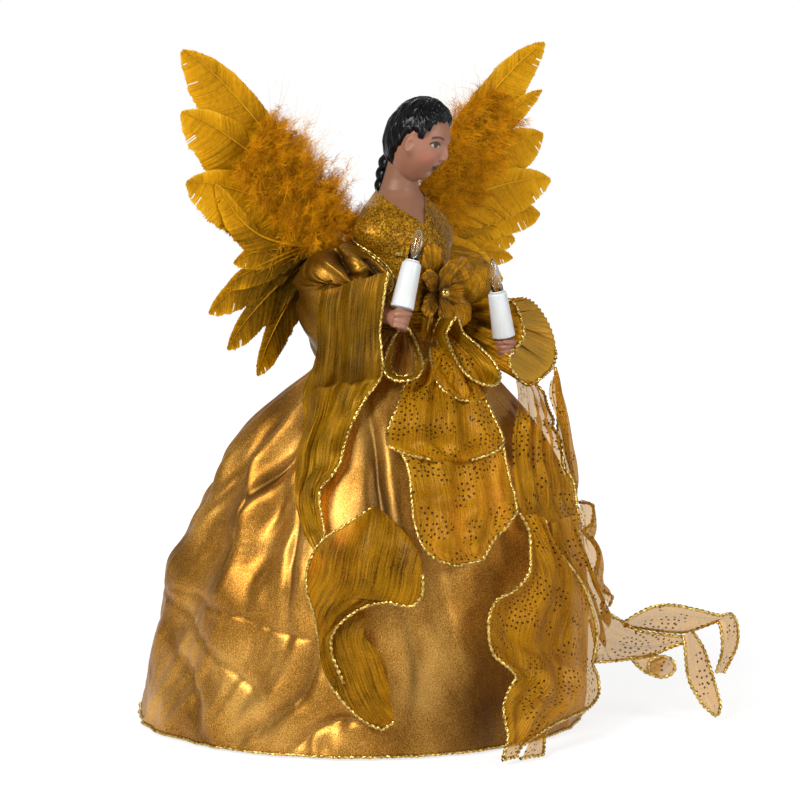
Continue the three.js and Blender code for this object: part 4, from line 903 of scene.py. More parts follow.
def scarf():
    """Organza scarf from the left sleeve over the side of the skirt."""
    inner = np.vstack([
        beside([(57, 178, 8), (58, 170, 2)]),
        over_skirt([(10, 164, 8), (5, 157, 6), (0, 148, 5), (-4, 136, 5), (-5, 123, 5), (-2, 111, 5)]),
    ])
    cord = np.vstack([
        beside([(68, 175, 14), (73, 168, 8)]),
        over_skirt([
            (38, 160, 11), (31, 151, 10), (29, 146, 9), (27, 137, 7.5), (27, 125, 7), (25, 113, 7),
        ]),
    ])
    far_inner = over_skirt([
        (42, 178, 26), (40, 170, 18), (37, 158, 13), (34, 146, 10), (31, 134, 8), (28, 118, 7),
    ])
    far_edge = beside([
        (78, 183, 30), (79, 174, 28), (80, 158, 26), (80, 145, 24), (83, 134, 20), (87, 117, 12),
    ])
    near = strip(inner, ruffled(cord, 1, 4), (110, 80), billow(3, 4.5, 2.6), 10)
    far = strip(far_inner, far_edge, (90, 40), billow(3, 2.5, 2.6), 11)
    cloth_piece(
        "left_sleeve_scarf", [near, far], "organza", ["left_sleeve_drape"],
        [near[:, -1], far[:, -1]],
    )


CURL_MIDDLE = (133, 29, -3)
CURL_HALF = (7, 5.5)
CURL_CUP = np.array([4, 4, 1.5])


def trailing_ribbon():
    """The scarf's ribbon: a band down the skirt, an arch and a tail on the floor, a tie and a frill."""
    top = np.vstack([
        over_skirt([(25, 114, 7), (21, 105, 7), (22, 98, 7), (24, 92, 7), (30, 77, 7), (37, 67, 8)]),
        beside([(102, 60, -4), (113, 52, 2), (122, 47, 3), (134, 45, 4), (145, 44, 4)]),
    ])
    low = np.vstack([
        over_skirt([
            (7, 112, 6), (8, 99, 5), (14, 89, 5), (19, 78, 5), (24, 64, 6), (29, 48, 7), (31, 38, 8),
        ]),
        beside([(99, 32, -6), (111, 32, 0), (127, 34, 2), (137, 38, 3), (146, 41, 4)]),
    ])
    arch_out = beside([
        (112, 52, -2), (120, 57, -5), (128, 61, -8), (137, 62, -9), (149, 60, -8), (162, 56.5, -4),
        (169, 56, 4), (173, 49, 10), (173, 37, 12), (166, 24, 10),
    ])
    arch_in = beside([
        (114, 49, 6), (120, 48, 8), (128, 47, 8), (137, 46, 8), (147, 46, 6), (156, 50, 2), (162, 52, 0),
        (164, 47, -4), (164, 37, -6), (161, 26, -4),
    ])
    tail_out = beside([(144, 45, 2), (145, 38, 0), (147, 23, -2), (153, 11, -3), (161, 3, -3)])
    tail_in = beside([(150, 46, 8), (156, 36, 8), (161, 20, 5), (164, 9, 2), (163, 4, 0)])
    tie_first = beside([(117, 34, 0), (120, 30, -2), (125, 26, -3), (131, 24, -3)])
    tie_second = beside([(131, 36, 2), (132, 34.5, 0), (134, 34.6, -2), (136, 34, -3)])
    frill_in = over_skirt([(26, 116, 7), (23, 106, 7), (24, 94, 7), (29, 80, 7), (36, 68, 8)])
    frill_out = beside([
        (90, 114, 6), (97, 113, 0), (97, 103, 6), (93, 99, 4), (99, 92, 0), (100, 85, 4), (98, 76, 6),
        (100, 69, 4), (107, 66, 0), (106, 60, 3),
    ])
    turn = np.linspace(0, 2 * np.pi, 60)
    reach, height, back = CURL_MIDDLE
    ring = grid_of(reach + CURL_HALF[0] * np.cos(turn), height + CURL_HALF[1] * np.sin(turn), back)
    ring = beside(ring)
    cup = columns(12, 1, 0.04)[..., None]
    curl = ring.mean(0) + (ring - ring.mean(0))[:, None] * cup + CURL_CUP * (1 - cup**2)
    band = strip(top, low, (150, 60), billow(3, 2.5, 2.6), 12)
    arch = strip(arch_out, arch_in, (110, 26), billow(1.5, 1, 0.8), 13)
    tail = strip(tail_out, tail_in, (60, 22), billow(1, 1, 0.5), 14)
    tie = strip(tie_first, tie_second, (24, 14), billow(1, 1, 1), 16)
    frill = strip(frill_in, frill_out, (110, 24), billow(3, 2, 2), 15)
    edges = [band[:, 0], band[BAND_CORD_ROW:, -1], arch[:, 0], arch[:, -1]]
    edges += [tail[:, 0], tail[:, -1], tail[-1], curl[:, 0], tie[:, 0], frill[:, -1]]
    cloth_piece(
        "scarf_ribbon", [band, arch, tail, curl, tie, frill], "organza", ["trailing_ribbon"],
        edges,
    )


right_sleeve()
front_drapes()
side_drape()
scarf()
trailing_ribbon()


# Figure: [height above the waist, half width, half depth, middle in Y]
FIGURE = [
    (-11, 16, 16, 0), (10, 16, 16, 0), (22, 18, 16.5, -1), (36, 21, 18, -3), (46, 23, 16.5, -2),
    (51, 23.4, 15.4, -1), (58, 22.8, 13.6, 0.5), (63, 20.5, 12.4, 2.4), (68, 14.6, 10.4, 3.8),
    (72, 10.2, 9.2, 4.2), (77, 8.8, 8.6, 3.2), (88, 8, 8, 0),
]
SHOULDER_WIDTH = 23.4
TORSO_FOOT = -11
TORSO_TOP = 51
TORSO_STEPS = 40
TORSO_CLOSING = (-15.9, -15)  # lift that draws the torso's foot and top closed


def on_figure(degrees, rise, lift):
    """Points round the torso: degrees from the front, height above the waist, distance out."""
    width, depth, middle = between(FIGURE, rise)
    angle = np.radians(degrees)
    return grid_of((width + lift) * np.sin(angle), middle - (depth + lift) * np.cos(angle), WAIST + rise)


def full_turn(count):
    return np.linspace(0, 360, count, endpoint=False)[None, :]


def torso():
    rise = np.r_[TORSO_FOOT, np.linspace(TORSO_FOOT, TORSO_TOP, TORSO_STEPS), TORSO_TOP][:, None]
    lift = np.r_[TORSO_CLOSING[0], np.zeros(TORSO_STEPS), TORSO_CLOSING[1]][:, None]
    lumps = 0.25 * ripple(full_turn(72) / 12, rise / 5, 2)
    grid = on_figure(full_turn(72), rise, lift + lumps)
    thing = piece("torso_padding", [surface(grid, True)], "padding", ["torso_core"])


BODICE_FOOT = 10.6
WRAP_OVER = 24  # degrees that each half crosses the middle by
# [degrees from the front, height above the waist] along the V neck
NECKLINE = {
    "right": [(-24, 28), (-9, 43), (0, 51.5), (20, 58.5), (45, 64.5), (80, 69.5), (120, 72), (180, 73)],
    "left": [(-24, 30), (-12, 44), (-5, 54), (5, 62), (25, 67), (60, 70.5), (120, 72), (180, 73)],
}
# Drooping shoulder: degrees round and their spread, height above the waist and its spread, distance out
SHOULDER_CAP = (98, 42, 50, 10, 7)


def on_shoulder(side, degrees, rise, lift):
    """Points round the torso with the cloth's drooping shoulder."""
    turn, turn_spread, height, height_spread, out = SHOULDER_CAP
    cap = out * hump(degrees - turn, turn_spread) * hump(rise - height, height_spread)
    return on_figure(side * degrees, rise, lift + cap)


def wrap(name, lift):
    """One half of the wrapped bodice, with slack folds that run up to its shoulder."""
    side = SIDES[name]
    degrees = columns(140, -WRAP_OVER, 180)
    top = between(NECKLINE[name], degrees)[0]
    rise = BODICE_FOOT + (top - BODICE_FOOT) * rows(60)
    front = np.clip(1 - degrees / 90, 0, 1)
    slack = 0.7 * np.sin(degrees / 7 + rise / 4.5) + 0.5 * ripple(degrees / 14, rise / 9, side + 4)
    grid = on_shoulder(side, degrees, rise, lift + 0.6 + 0.5 * front * slack)
    cloth_piece(name + "_wrap", [grid], "glitter", [name + "_bodice"])


SASH_FOOT = 0.4
SASH_HEIGHT = 10
SASH_LIFT = 1.5
SASH_ROUNDING = 1.3
SASH_PLEATS = 5


def sash():
    share, degrees = rows(40), full_turn(220)
    pleats = 0.45 * np.sin(2 * np.pi * SASH_PLEATS * share + 2 * ripple(degrees / 30, share * 3, 6))
    lift = SASH_LIFT + SASH_ROUNDING * np.sin(np.pi * share) + pleats
    grid = on_figure(degrees, SASH_FOOT + SASH_HEIGHT * share, lift)
    cloth_piece("sash_cloth", [grid], "crinkle", ["waist_sash"], around=True)


FLOWER_RISE = 20
FLOWER_RADIUS = 26
FLOWER_CUP = 6
FLOWER_LIFT = 3.2
PETALS = 5
BALL_RADIUS = 2.75
BALL_LIFT = 4.8


def flower_layer(size, rise, turned_by, seed):
    """Places of one ring of petals as [across, out, up], and the shade painted on them."""
    turn, share = turns(360)[None, :], rows(44, 0.08)
    x, y = np.cos(turn), np.sin(turn)
    lobe = np.abs(np.cos(PETALS / 2 * (turn + turned_by)))
    radius = size * share * (0.46 + 0.54 * lobe**0.8)
    pleat = share * np.sin(40 * turn + 5 * ripple(5 * x, 5 * y, seed))
    roll = 4.4 * lobe**2 - 3.8 * hump(lobe - 1, 0.2) + 2 * ripple(3 * x, 3 * y, seed)
    out = rise + FLOWER_CUP * share**1.2 + share * roll - 2.4 * share**6 + 0.2 * pleat
    # painted shade: deepest in the middle, between the petals and in the pleats' hollows
    dark = np.clip(0.8 * (1 - share) ** 1.4 + 0.9 * (1 - lobe) ** 2 + 0.3 * pleat, 0, 0.9)
    return grid_of(radius * y, -out, radius * x), dark


def flower():
    """Petals of folded ribbon round a gold ball, facing forward."""
    middle = on_figure(0, FLOWER_RISE, FLOWER_LIFT)
    outer, outer_dark = flower_layer(FLOWER_RADIUS, 0, 0.3, 1)
    inner, inner_dark = flower_layer(0.66 * FLOWER_RADIUS, 2.6, 0.9, 2)
    cloth_piece(
        "flower_petals", [middle + outer, middle + inner], "petal", ["waist_flower"],
        around=True, shade=[outer_dark, inner_dark],
    )
    arc = np.radians(np.linspace(-89, 89, 24))
    points, corners = turned(BALL_RADIUS * np.column_stack([np.cos(arc), np.sin(arc)]), 32)
    points = middle + points[:, [0, 2, 1]] * [1, -1, 1] - (BALL_RADIUS + BALL_LIFT) * BACK
    piece("flower_button", [(points, corners[:, ::-1])], "gold_bead", ["flower_ball"])


# Loops: degrees from the front, height below the waist, half width in degrees, half height, lift
LOOPS = {"right": (-46, 8, 12, 12, 4.7), "left": (-4, 8, 14, 15, 6.6)}
LOOP_WIDTH = 12.5


def ribbon_loop(name):
    degrees, drop, wide, tall, lift = LOOPS[name]
    turn, across = rows(130, 0, 2 * np.pi), columns(20)
    pinch = 0.75 - 0.25 * np.sin(turn)
    places = grid_of(
        degrees + wide * pinch * np.cos(turn) * (1 + 0.12 * across),
        WAIST - drop + tall * np.sin(turn) * (1 + 0.1 * across),
        lift + LOOP_WIDTH * across + 0.8 * np.sin(3 * turn + degrees),
    )
    grid = crinkled(over_skirt(places), depth=0.3, pitch=2.0, seed=7)
    cloth_piece(
        name + "_loop", [grid], "crinkle", [name + "_ribbon_loop"],
        [grid[:, 0], grid[:, -1]],
    )


# Head
HEAD_CENTRE = np.array([1.5, -8, WAIST + 96])
HEAD_HALF = np.array([15, 15.6, 21])
HEAD_TURN = math.radians(20)
HEAD_NOD = math.radians(19)
JAW_TAPER = 0.35
NECK_FOOT = 31  # bare chest inside the V of the bodice, above the waist
NECK_TOP = 88
NECK_CAP = 4  # height of the neck's hidden end inside the head
NECK_STEPS = 80
NECK_LIFT = 0.25
NECK_CLOSING = (-13, -2)  # lift that draws the neck's foot and top in
# Ear and its bowl: degrees from the face and their spread, height and its spread
EAR = (80, 13, -0.5, 6.5)
EAR_BOWL = (77, 7, 0.5, 2.8)
# [height, reach forward, half width, spread up, spread down, distance off the middle]
FACE = [
    (-3.2, 2.7, 1.7, 5.5, 1.5, 0),
    (-4, 0.8, 0.9, 1, 0.8, 1.6),
    (5.8, 0.8, 3.4, 1.8, 1.8, 5.5),
    (2.8, -2, 3.2, 2.4, 2.4, 6.6),
    (2.8, 1, 2.3, 1.4, 1.4, 7.2),
    (-4, 0.8, 3, 3.5, 3.5, 8),
    (-8, 1.4, 2.6, 0.8, 0.8, 0),
    (-10, 1.3, 2.2, 0.8, 0.9, 0),
    (-9, -0.8, 2.8, 0.35, 0.35, 0),
    (-12.2, -0.6, 2.4, 0.8, 0.8, 0),
    (-15.5, 2, 3.8, 3.2, 3.5, 0),
]


def head_point(angle, rise, lift, features=False):
    """Points of the head in its own frame, from the angle off the face and the angle above its middle."""
    up, out = np.sin(rise), np.cos(rise)
    out = out * np.where(up < 0, 1 - JAW_TAPER * up**2, 1)
    x = (HEAD_HALF[0] + lift) * out * np.sin(angle)
    y = -(HEAD_HALF[1] + lift) * out * np.cos(angle)
    z = (HEAD_HALF[2] + lift) * up + 0 * angle
    if features:
        front = np.clip(np.cos(angle), 0, 1) ** 0.5
        for height, reach, wide, above, below, off in FACE:
            tall = hump(z - height, np.where(z > height, above, below))
            y = y - front * reach * tall * hump(np.abs(x) - off, wide)
        round_by = np.degrees(np.abs(angle))
        ear = hump(round_by - EAR[0], EAR[1]) ** 2 * hump(z - EAR[2], EAR[3]) ** 2
        bowl = hump(round_by - EAR_BOWL[0], EAR_BOWL[1]) * hump(z - EAR_BOWL[2], EAR_BOWL[3])
        x = x + np.sign(angle) * (3 * np.minimum(1.6 * ear, 1) - 2.4 * bowl)
    return grid_of(x, y, z)


def from_head(points):
    """Points of the head's own frame in the model's frame: nodded, turned, then placed."""
    x, y, z = np.moveaxis(points, -1, 0)
    y, z = spun(y, z, HEAD_NOD)
    x, y = spun(x, y, HEAD_TURN)
    return grid_of(x, y, z) + HEAD_CENTRE


SKIN = rgb(148, 100, 77)[:3]
# The neck in the skin's colour, painted darker for the shade under the head
SHADED_NECK_SKIN = rgb(130, 88, 64)[:3]
BLUSH = rgb(174, 96, 76)[:3]
LIPS = rgb(62, 22, 22)[:3]
LINES = rgb(26, 16, 14)[:3]
EYE_WHITE = rgb(190, 174, 160)[:3]
EYE_CENTRE = (7.2, 2.8)
EYE_HALF = (2.9, 1.35)
BROW_CENTRE = (6.6, 6.9)
LIPS_HEIGHT = -9.2
BLUSH_CENTRE = (8.6, -4.5)
PAINT_EDGE = -6  # paint lies only on what is further forward than this


def face_paint(local):
    """Painted colours of the doll's face, from places in the head's own frame."""
    x, y, z = np.abs(local[:, 0]), local[:, 1], local[:, 2]
    paint = np.tile(SKIN, (len(local), 1))

    def lay(colour, share):
        share = (np.clip(share, 0, 1) * (y < PAINT_EDGE))[:, None]
        paint[:] = paint * (1 - share) + np.array(colour) * share

    across, up = x - EYE_CENTRE[0], z - EYE_CENTRE[1]
    lay(BLUSH, 0.7 * hump(np.hypot(x - BLUSH_CENTRE[0], 1.1 * (z - BLUSH_CENTRE[1])), 3.6))
    lay(LIPS, 2 - 2.2 * np.hypot(x / 3.4, (z - LIPS_HEIGHT) / 2.3) ** 2)
    lay(LINES, 2 * hump(z - LIPS_HEIGHT - 0.15, 0.3) * (x < 3))
    almond = (across / EYE_HALF[0]) ** 2 + (up / EYE_HALF[1]) ** 2
    lay(EYE_WHITE, 4 * (1 - almond))
    lay(LINES, 5 * (1 - ((across + 0.3) ** 2 + (up - 0.1) ** 2) / 2.6) * (almond < 1.05))
    lay(LINES, 3 * hump(up - 1.3 + 0.16 * across**2, 0.42) * (np.abs(across) < 3.2))
    brow = z - BROW_CENTRE[1] + 0.1 * (x - BROW_CENTRE[0]) ** 2
    lay(LINES, 2 * hump(brow, 0.45) * (np.abs(x - BROW_CENTRE[0] - 0.2) < 3.2))
    return paint


def head():
    spread = np.linspace(-1, 1, 260, endpoint=False)
    angle = (np.pi * np.sign(spread) * np.abs(spread) ** 1.35)[None, :]
    local = head_point(angle, np.radians(rows(190, -89, 89)), 0, features=True)
    rise = np.r_[NECK_FOOT, np.linspace(NECK_FOOT, NECK_TOP, NECK_STEPS), NECK_TOP + NECK_CAP][:, None]
    lift = np.r_[NECK_CLOSING[0], np.full(NECK_STEPS, NECK_LIFT), NECK_CLOSING[1]][:, None]
    neck = on_figure(full_turn(96), rise, lift)
    parts = [surface(from_head(local), True), surface(neck, True)]
    paint = np.vstack([face_paint(local.reshape(-1, 3)), np.tile(SHADED_NECK_SKIN, (neck.size // 3, 1))])
    piece("head_and_neck", parts, "skin", ["head"], colour=paint)


# [degrees from the face, degrees above the middle of the head]
HAIRLINE = [
    (0, 44), (30, 42), (48, 32), (58, 18), (65, 8), (73, 15), (84, 16), (95, 6), (106, -16), (124, -37),
    (180, -46),
]
LOCKS = 10
STRANDS = 60
NAPE_DROP = 38
# [across, back, up] of the plait from the hair at the nape
PLAIT_PATH = [(2.2, 2.4, 3), (1.2, 5.6, -6.5), (0.4, 6.8, -15.5), (-0.2, 7, -23.5)]
PLAIT_STEPS = 120
PLAIT_TURNS = 1.5
PLAIT_SWAY = (1.9, 1.1)  # of a strand, sideways and back
PLAIT_STRAND = 2.6  # radius


def hair():
    """Moulded hair: locks from the crown to a ragged edge."""
    angle, share = -np.pi + turns(420)[None, :], rows(120)
    x, y = np.sin(angle), np.cos(angle)
    locks = np.abs(np.sin(LOCKS * angle + 2.2 * ripple(2 * x, 2 * y, 2)))
    ragged = 3 * (locks - 0.5) + 4 * ripple(14 * x, 14 * y, 4)
    edge = between(HAIRLINE, np.degrees(np.abs(angle)))[0] - ragged
    rise = np.radians(edge + (89.5 - edge) * share)
    swirl = angle + 0.9 * share
    x, y = np.sin(swirl), np.cos(swirl)
    body = np.abs(np.sin(LOCKS * swirl + 2.2 * ripple(2 * x, 2 * y + share, 2)))
    strand = np.sin(STRANDS * swirl + 5 * ripple(5 * x, 5 * y + 2 * share, 5))
    wave = ripple(9 * x, 9 * y + 14 * share, 8)
    fade = np.sin(np.pi * np.clip(share, 0, 0.97)) ** 0.3
    lift = 0.3 + 2.2 * smooth(share / 0.1) + fade * (0.5 * body - 0.1 + 0.1 * strand + 0.3 * wave)
    under = head_point(angle, np.radians(edge[-1:] + 3), 0.1)
    grid = np.vstack([under, head_point(angle, rise, lift)])
    piece("moulded_hair", [surface(from_head(grid), True)], "hair", ["hair"])


def plait():
    """Three strands crossing down the nape."""
    nape = from_head(head_point(math.pi, math.radians(-NAPE_DROP), 2.9))
    path = curve(nape + np.array(PLAIT_PATH), PLAIT_STEPS)
    share = np.linspace(0, 1, PLAIT_STEPS)
    thin = 1 - 0.4 * share
    _, first, second = frames(path)
    parts = []
    for strand in range(3):
        phase = 2 * np.pi * (PLAIT_TURNS * share + strand / 3)
        sway = first * (PLAIT_SWAY[0] * thin * np.sin(phase))[:, None]
        sway = sway + second * (PLAIT_SWAY[1] * thin * np.sin(2 * phase))[:, None]
        radius = PLAIT_STRAND * thin * (1 + 0.25 * np.cos(2 * phase))
        parts.append(closed_tube(path + sway, radius, 12))
    piece("hair_plait", parts, "hair", ["braid"])


# Arms and lamps: fist, degrees that the candle leans inwards
ARMS = {
    "right": (np.array([-38, -34, WAIST + 9.5]), 18),
    "left": (np.array([38, -35, WAIST - 8.5]), 13),
}
ARM_ROOT = 25.9
ARM_RADIUS = 6
ARM_ROOT_RADIUS = 3.6
ARM_STEPS = 60
ARM_DROOP = 10  # how far the arm's core is bent down inside the drooping shoulder
SHOULDER_SHARE = 0.42  # of the arm, where it no longer droops
ELBOW_OUT = 47
WIRE_RADIUS = 1
WRIST = 10
LEAD_BEND = (10, 25)  # height above the waist where a lead begins to bend, and its rise until it is bent
PUFF_NECK = 7.95
PUFF_START = 0.08  # shares of the arm where the sleeve begins and ends
PUFF_END = 0.88
PUFF_PLACES = 400  # along the arm, from which the sleeve's rows are picked
PUFF = [(0.08, -1), (0.13, 1.5), (0.22, 6.5), (0.34, 11), (0.5, 12), (0.66, 10.5), (0.8, 5.5), (0.88, 0)]
PUFF_FINISH = {"right": "satin_in_painted_shade", "left": "sleeve_crinkle"}
PUFF_DROP = 6  # how far the sleeve sags at the shoulder, and its front side once more
PUFF_SAG = {"right": 13, "left": 0}  # how far the sleeve hangs below the elbow
# Deep pleats of a puff: [degrees round the arm, share of the arm]
PLEATS = {
    "right": [
        [(-30, 0.37), (-6, 0.34), (8, 0.309), (32, 0.285), (76, 0.247), (105, 0.23)],
        [(-45, 0.14), (-20, 0.15), (0, 0.155), (20, 0.16), (45, 0.17)],
    ],
    "left": [[(-70, 0.1), (-40, 0.3), (-5, 0.54), (15, 0.6)]],
}


def arm_path(name, count):
    """Places along the middle of an arm, and the forearm's direction."""
    fist, _ = ARMS[name]
    side = SIDES[name]
    root = np.array([side * ARM_ROOT, 0, WAIST + ARM_RISE])
    elbow = np.array([side * ELBOW_OUT, 3, fist[2] + 0.22 * (root[2] - fist[2])])
    wrist = fist - WRIST * unit(fist - elbow)
    stub, bulge = root + [side * 5, 0, 0], root + [side * 14, 1, -8]
    return curve([root, stub, bulge, elbow, wrist], count), unit(fist - elbow)


def to_lamp(name, points):
    """Points of a lamp's own frame, its axis on +Z, placed over the fist."""
    fist, lean = ARMS[name]
    x, y, z = np.moveaxis(points, -1, 0)
    z, x = spun(z, x, math.radians(-SIDES[name] * lean))
    return fist + grid_of(x, y, z)


def near_shoulder(share):
    """One at the arm's root, none where the shoulder's droop ends."""
    return 1 - smooth(share / SHOULDER_SHARE)


def arm_core(name):
    """Middle of the arm, bent down inside the drooping shoulder."""
    path, _ = arm_path(name, ARM_STEPS)
    return path - ARM_DROOP * UP * near_shoulder(rows(ARM_STEPS))


def arm(name):
    share = np.linspace(0, 1, ARM_STEPS)
    radius = np.interp(share, [0.25, 0.4], [ARM_ROOT_RADIUS, ARM_RADIUS])
    parts = [closed_tube(arm_core(name), radius, 24)]
    thing = piece(name + "_arm_padding", parts, "satin_in_painted_shade", [name + "_arm"])


def lamp_lead(name):
    """The lamp's lead, bent down with the arm inside the shoulder."""
    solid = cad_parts[name + "_lamp_lead"]
    points = np.array([(solid.matrix_world @ v.co)[:] for v in solid.data.vertices]) / MM
    path, _ = arm_path(name, ARM_STEPS)
    share = np.argmin(np.linalg.norm(points[:, None] - path, axis=2), 1) / (ARM_STEPS - 1)
    bend = near_shoulder(share) * smooth((points[:, 2] - WAIST - LEAD_BEND[0]) / LEAD_BEND[1])
    points = points - ARM_DROOP * UP * bend[:, None]
    corners = np.array([list(face.vertices) for face in solid.data.polygons])
    piece(name + "_lead_cord", [(points, corners)], "lead", [name + "_lamp_lead"])


def arm_wire():
    """One wire through both arms and the torso."""
    path = np.vstack([arm_core("left")[::-1], arm_core("right")])
    piece("arm_core_wire", [closed_tube(path, WIRE_RADIUS, 12)], "wire", ["arm_wire"])


# Seam of the drooping shoulder: [degrees round, height above the waist]
ARMHOLE = [
    (132, 52), (118, 48), (104, 45), (90, 41), (76, 36), (66, 31), (62, 27), (70, 22), (88, 20), (108, 22),
    (126, 30), (136, 42), (132, 52),
]
ARMHOLE_STEPS = 160
SEAM_MIDDLE = (98, 36)  # degrees round and height at the middle of the armhole
SEAM_DROP = 2.6  # of the sleeve's seam below the braid
SEAM_LIFT = {"right": 2.7, "left": 1.2}


def sleeve_seam(name, turn):
    """Points of the armhole's seam towards each direction round the arm."""
    side = SIDES[name]
    degrees, rise = curve(ARMHOLE, ARMHOLE_STEPS)[:-1].T
    ahead = (SEAM_MIDDLE[0] - degrees) * math.radians(SHOULDER_WIDTH)
    around = np.arctan2(side * (SEAM_MIDDLE[1] - rise), ahead)
    degrees = np.interp(turn, around, degrees, period=2 * np.pi)
    rise = np.interp(turn, around, rise, period=2 * np.pi)
    return on_shoulder(side, degrees, rise - SEAM_DROP, SEAM_LIFT[name])


def puff_pleats(name, turn, share):
    """How deep a puff's pleats cut into it, and the shade painted in them."""
    cut, dark = 0, 0
    degrees = (np.degrees(turn) + 180) % 360 - 180
    for line in PLEATS[name]:
        off = share - between(line, degrees)[0]
        deep = smooth((degrees - line[0][0]) / 24) * smooth((line[-1][0] - degrees) / 24)
        banks = hump(off + 0.06, 0.035) + hump(off - 0.06, 0.035)
        cut = cut + deep * (6 * hump(off, 0.024) - 2.4 * banks)
        dark = dark + 0.95 * deep * hump(off, 0.022)
    return cut, dark


def puff(name):
    """Gathered balloon of satin, deeply folded."""
    side = SIDES[name]
    path, _ = arm_path(name, PUFF_PLACES + 1)
    share = np.linspace(PUFF_START, PUFF_END, 130)
    index = (share * PUFF_PLACES).astype(int)
    tangent = unit(np.gradient(path, axis=0))[index]
    first = unit(np.cross(tangent, side * UP))
    second = np.cross(tangent, first)
    turn, share = turns(180)[None, :], share[:, None]
    x, y = np.cos(turn), np.sin(turn)
    out = x[..., None] * first[:, None] + y[..., None] * second[:, None]
    inward = np.maximum(0, -side * out[..., 0])
    upward = np.maximum(0, out[..., 2]) * (1 - smooth((share - 0.12) / 0.36))
    before = np.maximum(0, -out[..., 1]) * near_shoulder(share)
    bulk = between(PUFF, share)[0] * (1 - 0.3 * inward) * (1 - 0.95 * upward) * (1 - 0.6 * before)
    folds = 0.1 * np.cos(5 * turn + 1.5 * ripple(2 * x, 2 * y + 3 * share, 3))
    folds = folds + 0.2 * ripple(1.4 * x + 2 * share, 1.4 * y - 1.5 * share, 4)
    wrinkles = 1 - 3 * np.abs(ripple(1.8 * x - 2 * share, 1.8 * y + 3 * share, 6))
    folds = folds - 0.12 * wrinkles.clip(0, 1)
    ends = np.minimum(share - PUFF_START, PUFF_END - share)
    gathers = 0.5 * np.exp(-ends / 0.07) * np.sin(24 * turn)
    cut, dark = puff_pleats(name, turn, share)
    radius = PUFF_NECK + bulk * (1 + folds) + gathers - cut
    hangs = np.maximum(0, -out[..., 2]) * smooth((share - 0.3) / 0.2) * smooth((PUFF_END - share) / 0.14)
    drop = PUFF_DROP * (near_shoulder(share) + before) + PUFF_SAG[name] * hangs
    grid = path[index][:, None] + out * radius[..., None] - UP * drop[..., None]
    reach = smooth((share - PUFF_START) / 0.14)[..., None]
    grid = sleeve_seam(name, turn[0]) * (1 - reach) + grid * reach
    # Painted shade in the pleats and on the sagging underside
    cloth_piece(
        name + "_puff", [grid], PUFF_FINISH[name], [name + "_sleeve_puff"],
        around=True, shade=np.clip(dark + 0.7 * hangs, 0, 0.9),
    )


BELL_MOUTH = [
    (53, 219, 20), (58, 214, 14), (61, 201, 6), (54, 191, -4), (54, 185, -6), (59, 178, 0), (64, 175, 8),
    (71, 178, 22), (78, 184, 40), (79, 195, 52), (74, 208, 52), (65, 218, 40), (53, 219, 20),
]
BELL_POINTS = 180
BELL_NECK = 62  # place of the bell's neck, in hundredths of the arm
BELL_NECK_RADIUS = 11
BELL_ROUNDING = 5
BELL_FLUTES = 2.3
BELL_CORD_END = 118  # the cord runs along this many of the mouth's points


def bell_sleeve():
    """The left sleeve's crinkled bell, open towards the lamp, with cord along part of its mouth."""
    mouth = curve(beside(BELL_MOUTH), BELL_POINTS + 1)[:-1]
    path, _ = arm_path("left", 101)
    neck, heading = path[BELL_NECK], unit(path[BELL_NECK + 2] - path[BELL_NECK - 2])
    spoke = mouth - mouth.mean(0)
    spoke = unit(spoke - heading * (spoke @ heading)[:, None])
    share, turn = rows(70), turns(BELL_POINTS)
    flutes = np.sin(9 * turn + 2) + 0.6 * np.sin(16 * turn + 4 * share)
    flutes = flutes * np.sin(np.pi * share) + 0.3 * np.sin(46 * turn)
    # Painted shade: deeper inside the bell towards its neck, and in the hollows of the flutes
    dark = np.clip(0.5 * smooth((0.75 - share) / 0.5) - 0.3 * flutes, 0, 0.7)
    share, flutes = share[..., None], flutes[..., None]
    grid = (neck + BELL_NECK_RADIUS * spoke) * (1 - share) + mouth * share
    grid = grid + spoke * BELL_ROUNDING * np.sin(np.pi * share) ** 0.8
    grid = grid + (spoke - 0.5 * heading) * BELL_FLUTES * flutes
    cloth_piece(
        "left_bell_sleeve", [grid], "bell", [], [grid[-1][:BELL_CORD_END]],
        around=True, shade=dark,
    )


def fused(parts, voxel):
    """One smooth skin round parts that run into each other."""
    points, faces = joined(parts)
    mesh = bpy.data.meshes.new("rough")
    mesh.from_pydata(points.tolist(), [], faces)
    rough = put_in_scene("rough", mesh)
    rough.modifiers.new("skin", "REMESH").voxel_size = voxel
    rough.modifiers.new("relax", "SMOOTH").iterations = 3
    made = rough.evaluated_get(bpy.context.evaluated_depsgraph_get()).to_mesh()
    points = np.array([v.co[:] for v in made.vertices])
    corners = np.array([list(p.vertices) for p in made.polygons])
    bpy.data.objects.remove(rough)
    return points, corners


def palm(middle, half):
    rise, turn = np.radians(rows(24, -89, 89)), turns(48)
    shape = grid_of(np.cos(rise) * np.cos(turn), np.cos(rise) * np.sin(turn), np.sin(rise))
    return surface(middle + shape * half, True)


def lamp_piece(name, part, shape, finish, node, body="angel", colour=None):
    """A piece made in a lamp's own frame."""
    points, corners = shape
    parts = [(to_lamp(name, points), corners)]
    piece(f"{name}_{part}", parts, finish, [f"{name}_{node}"], body, colour=colour)


FIST_SCALE = 0.9
FIST_DROP = 0.8
FIST_VOXEL = 0.45
PALM_HALF = (5, 5, 5.4)
WRIST_RADIUS = 4.3
FINGERS = 4
FINGER_TOP = 3.9
FINGER_PITCH = 2.7
FINGER_RADIUS = 1.75
THUMB_RADIUS = 1.9
FINGERTIP_RADIUS = 1.35


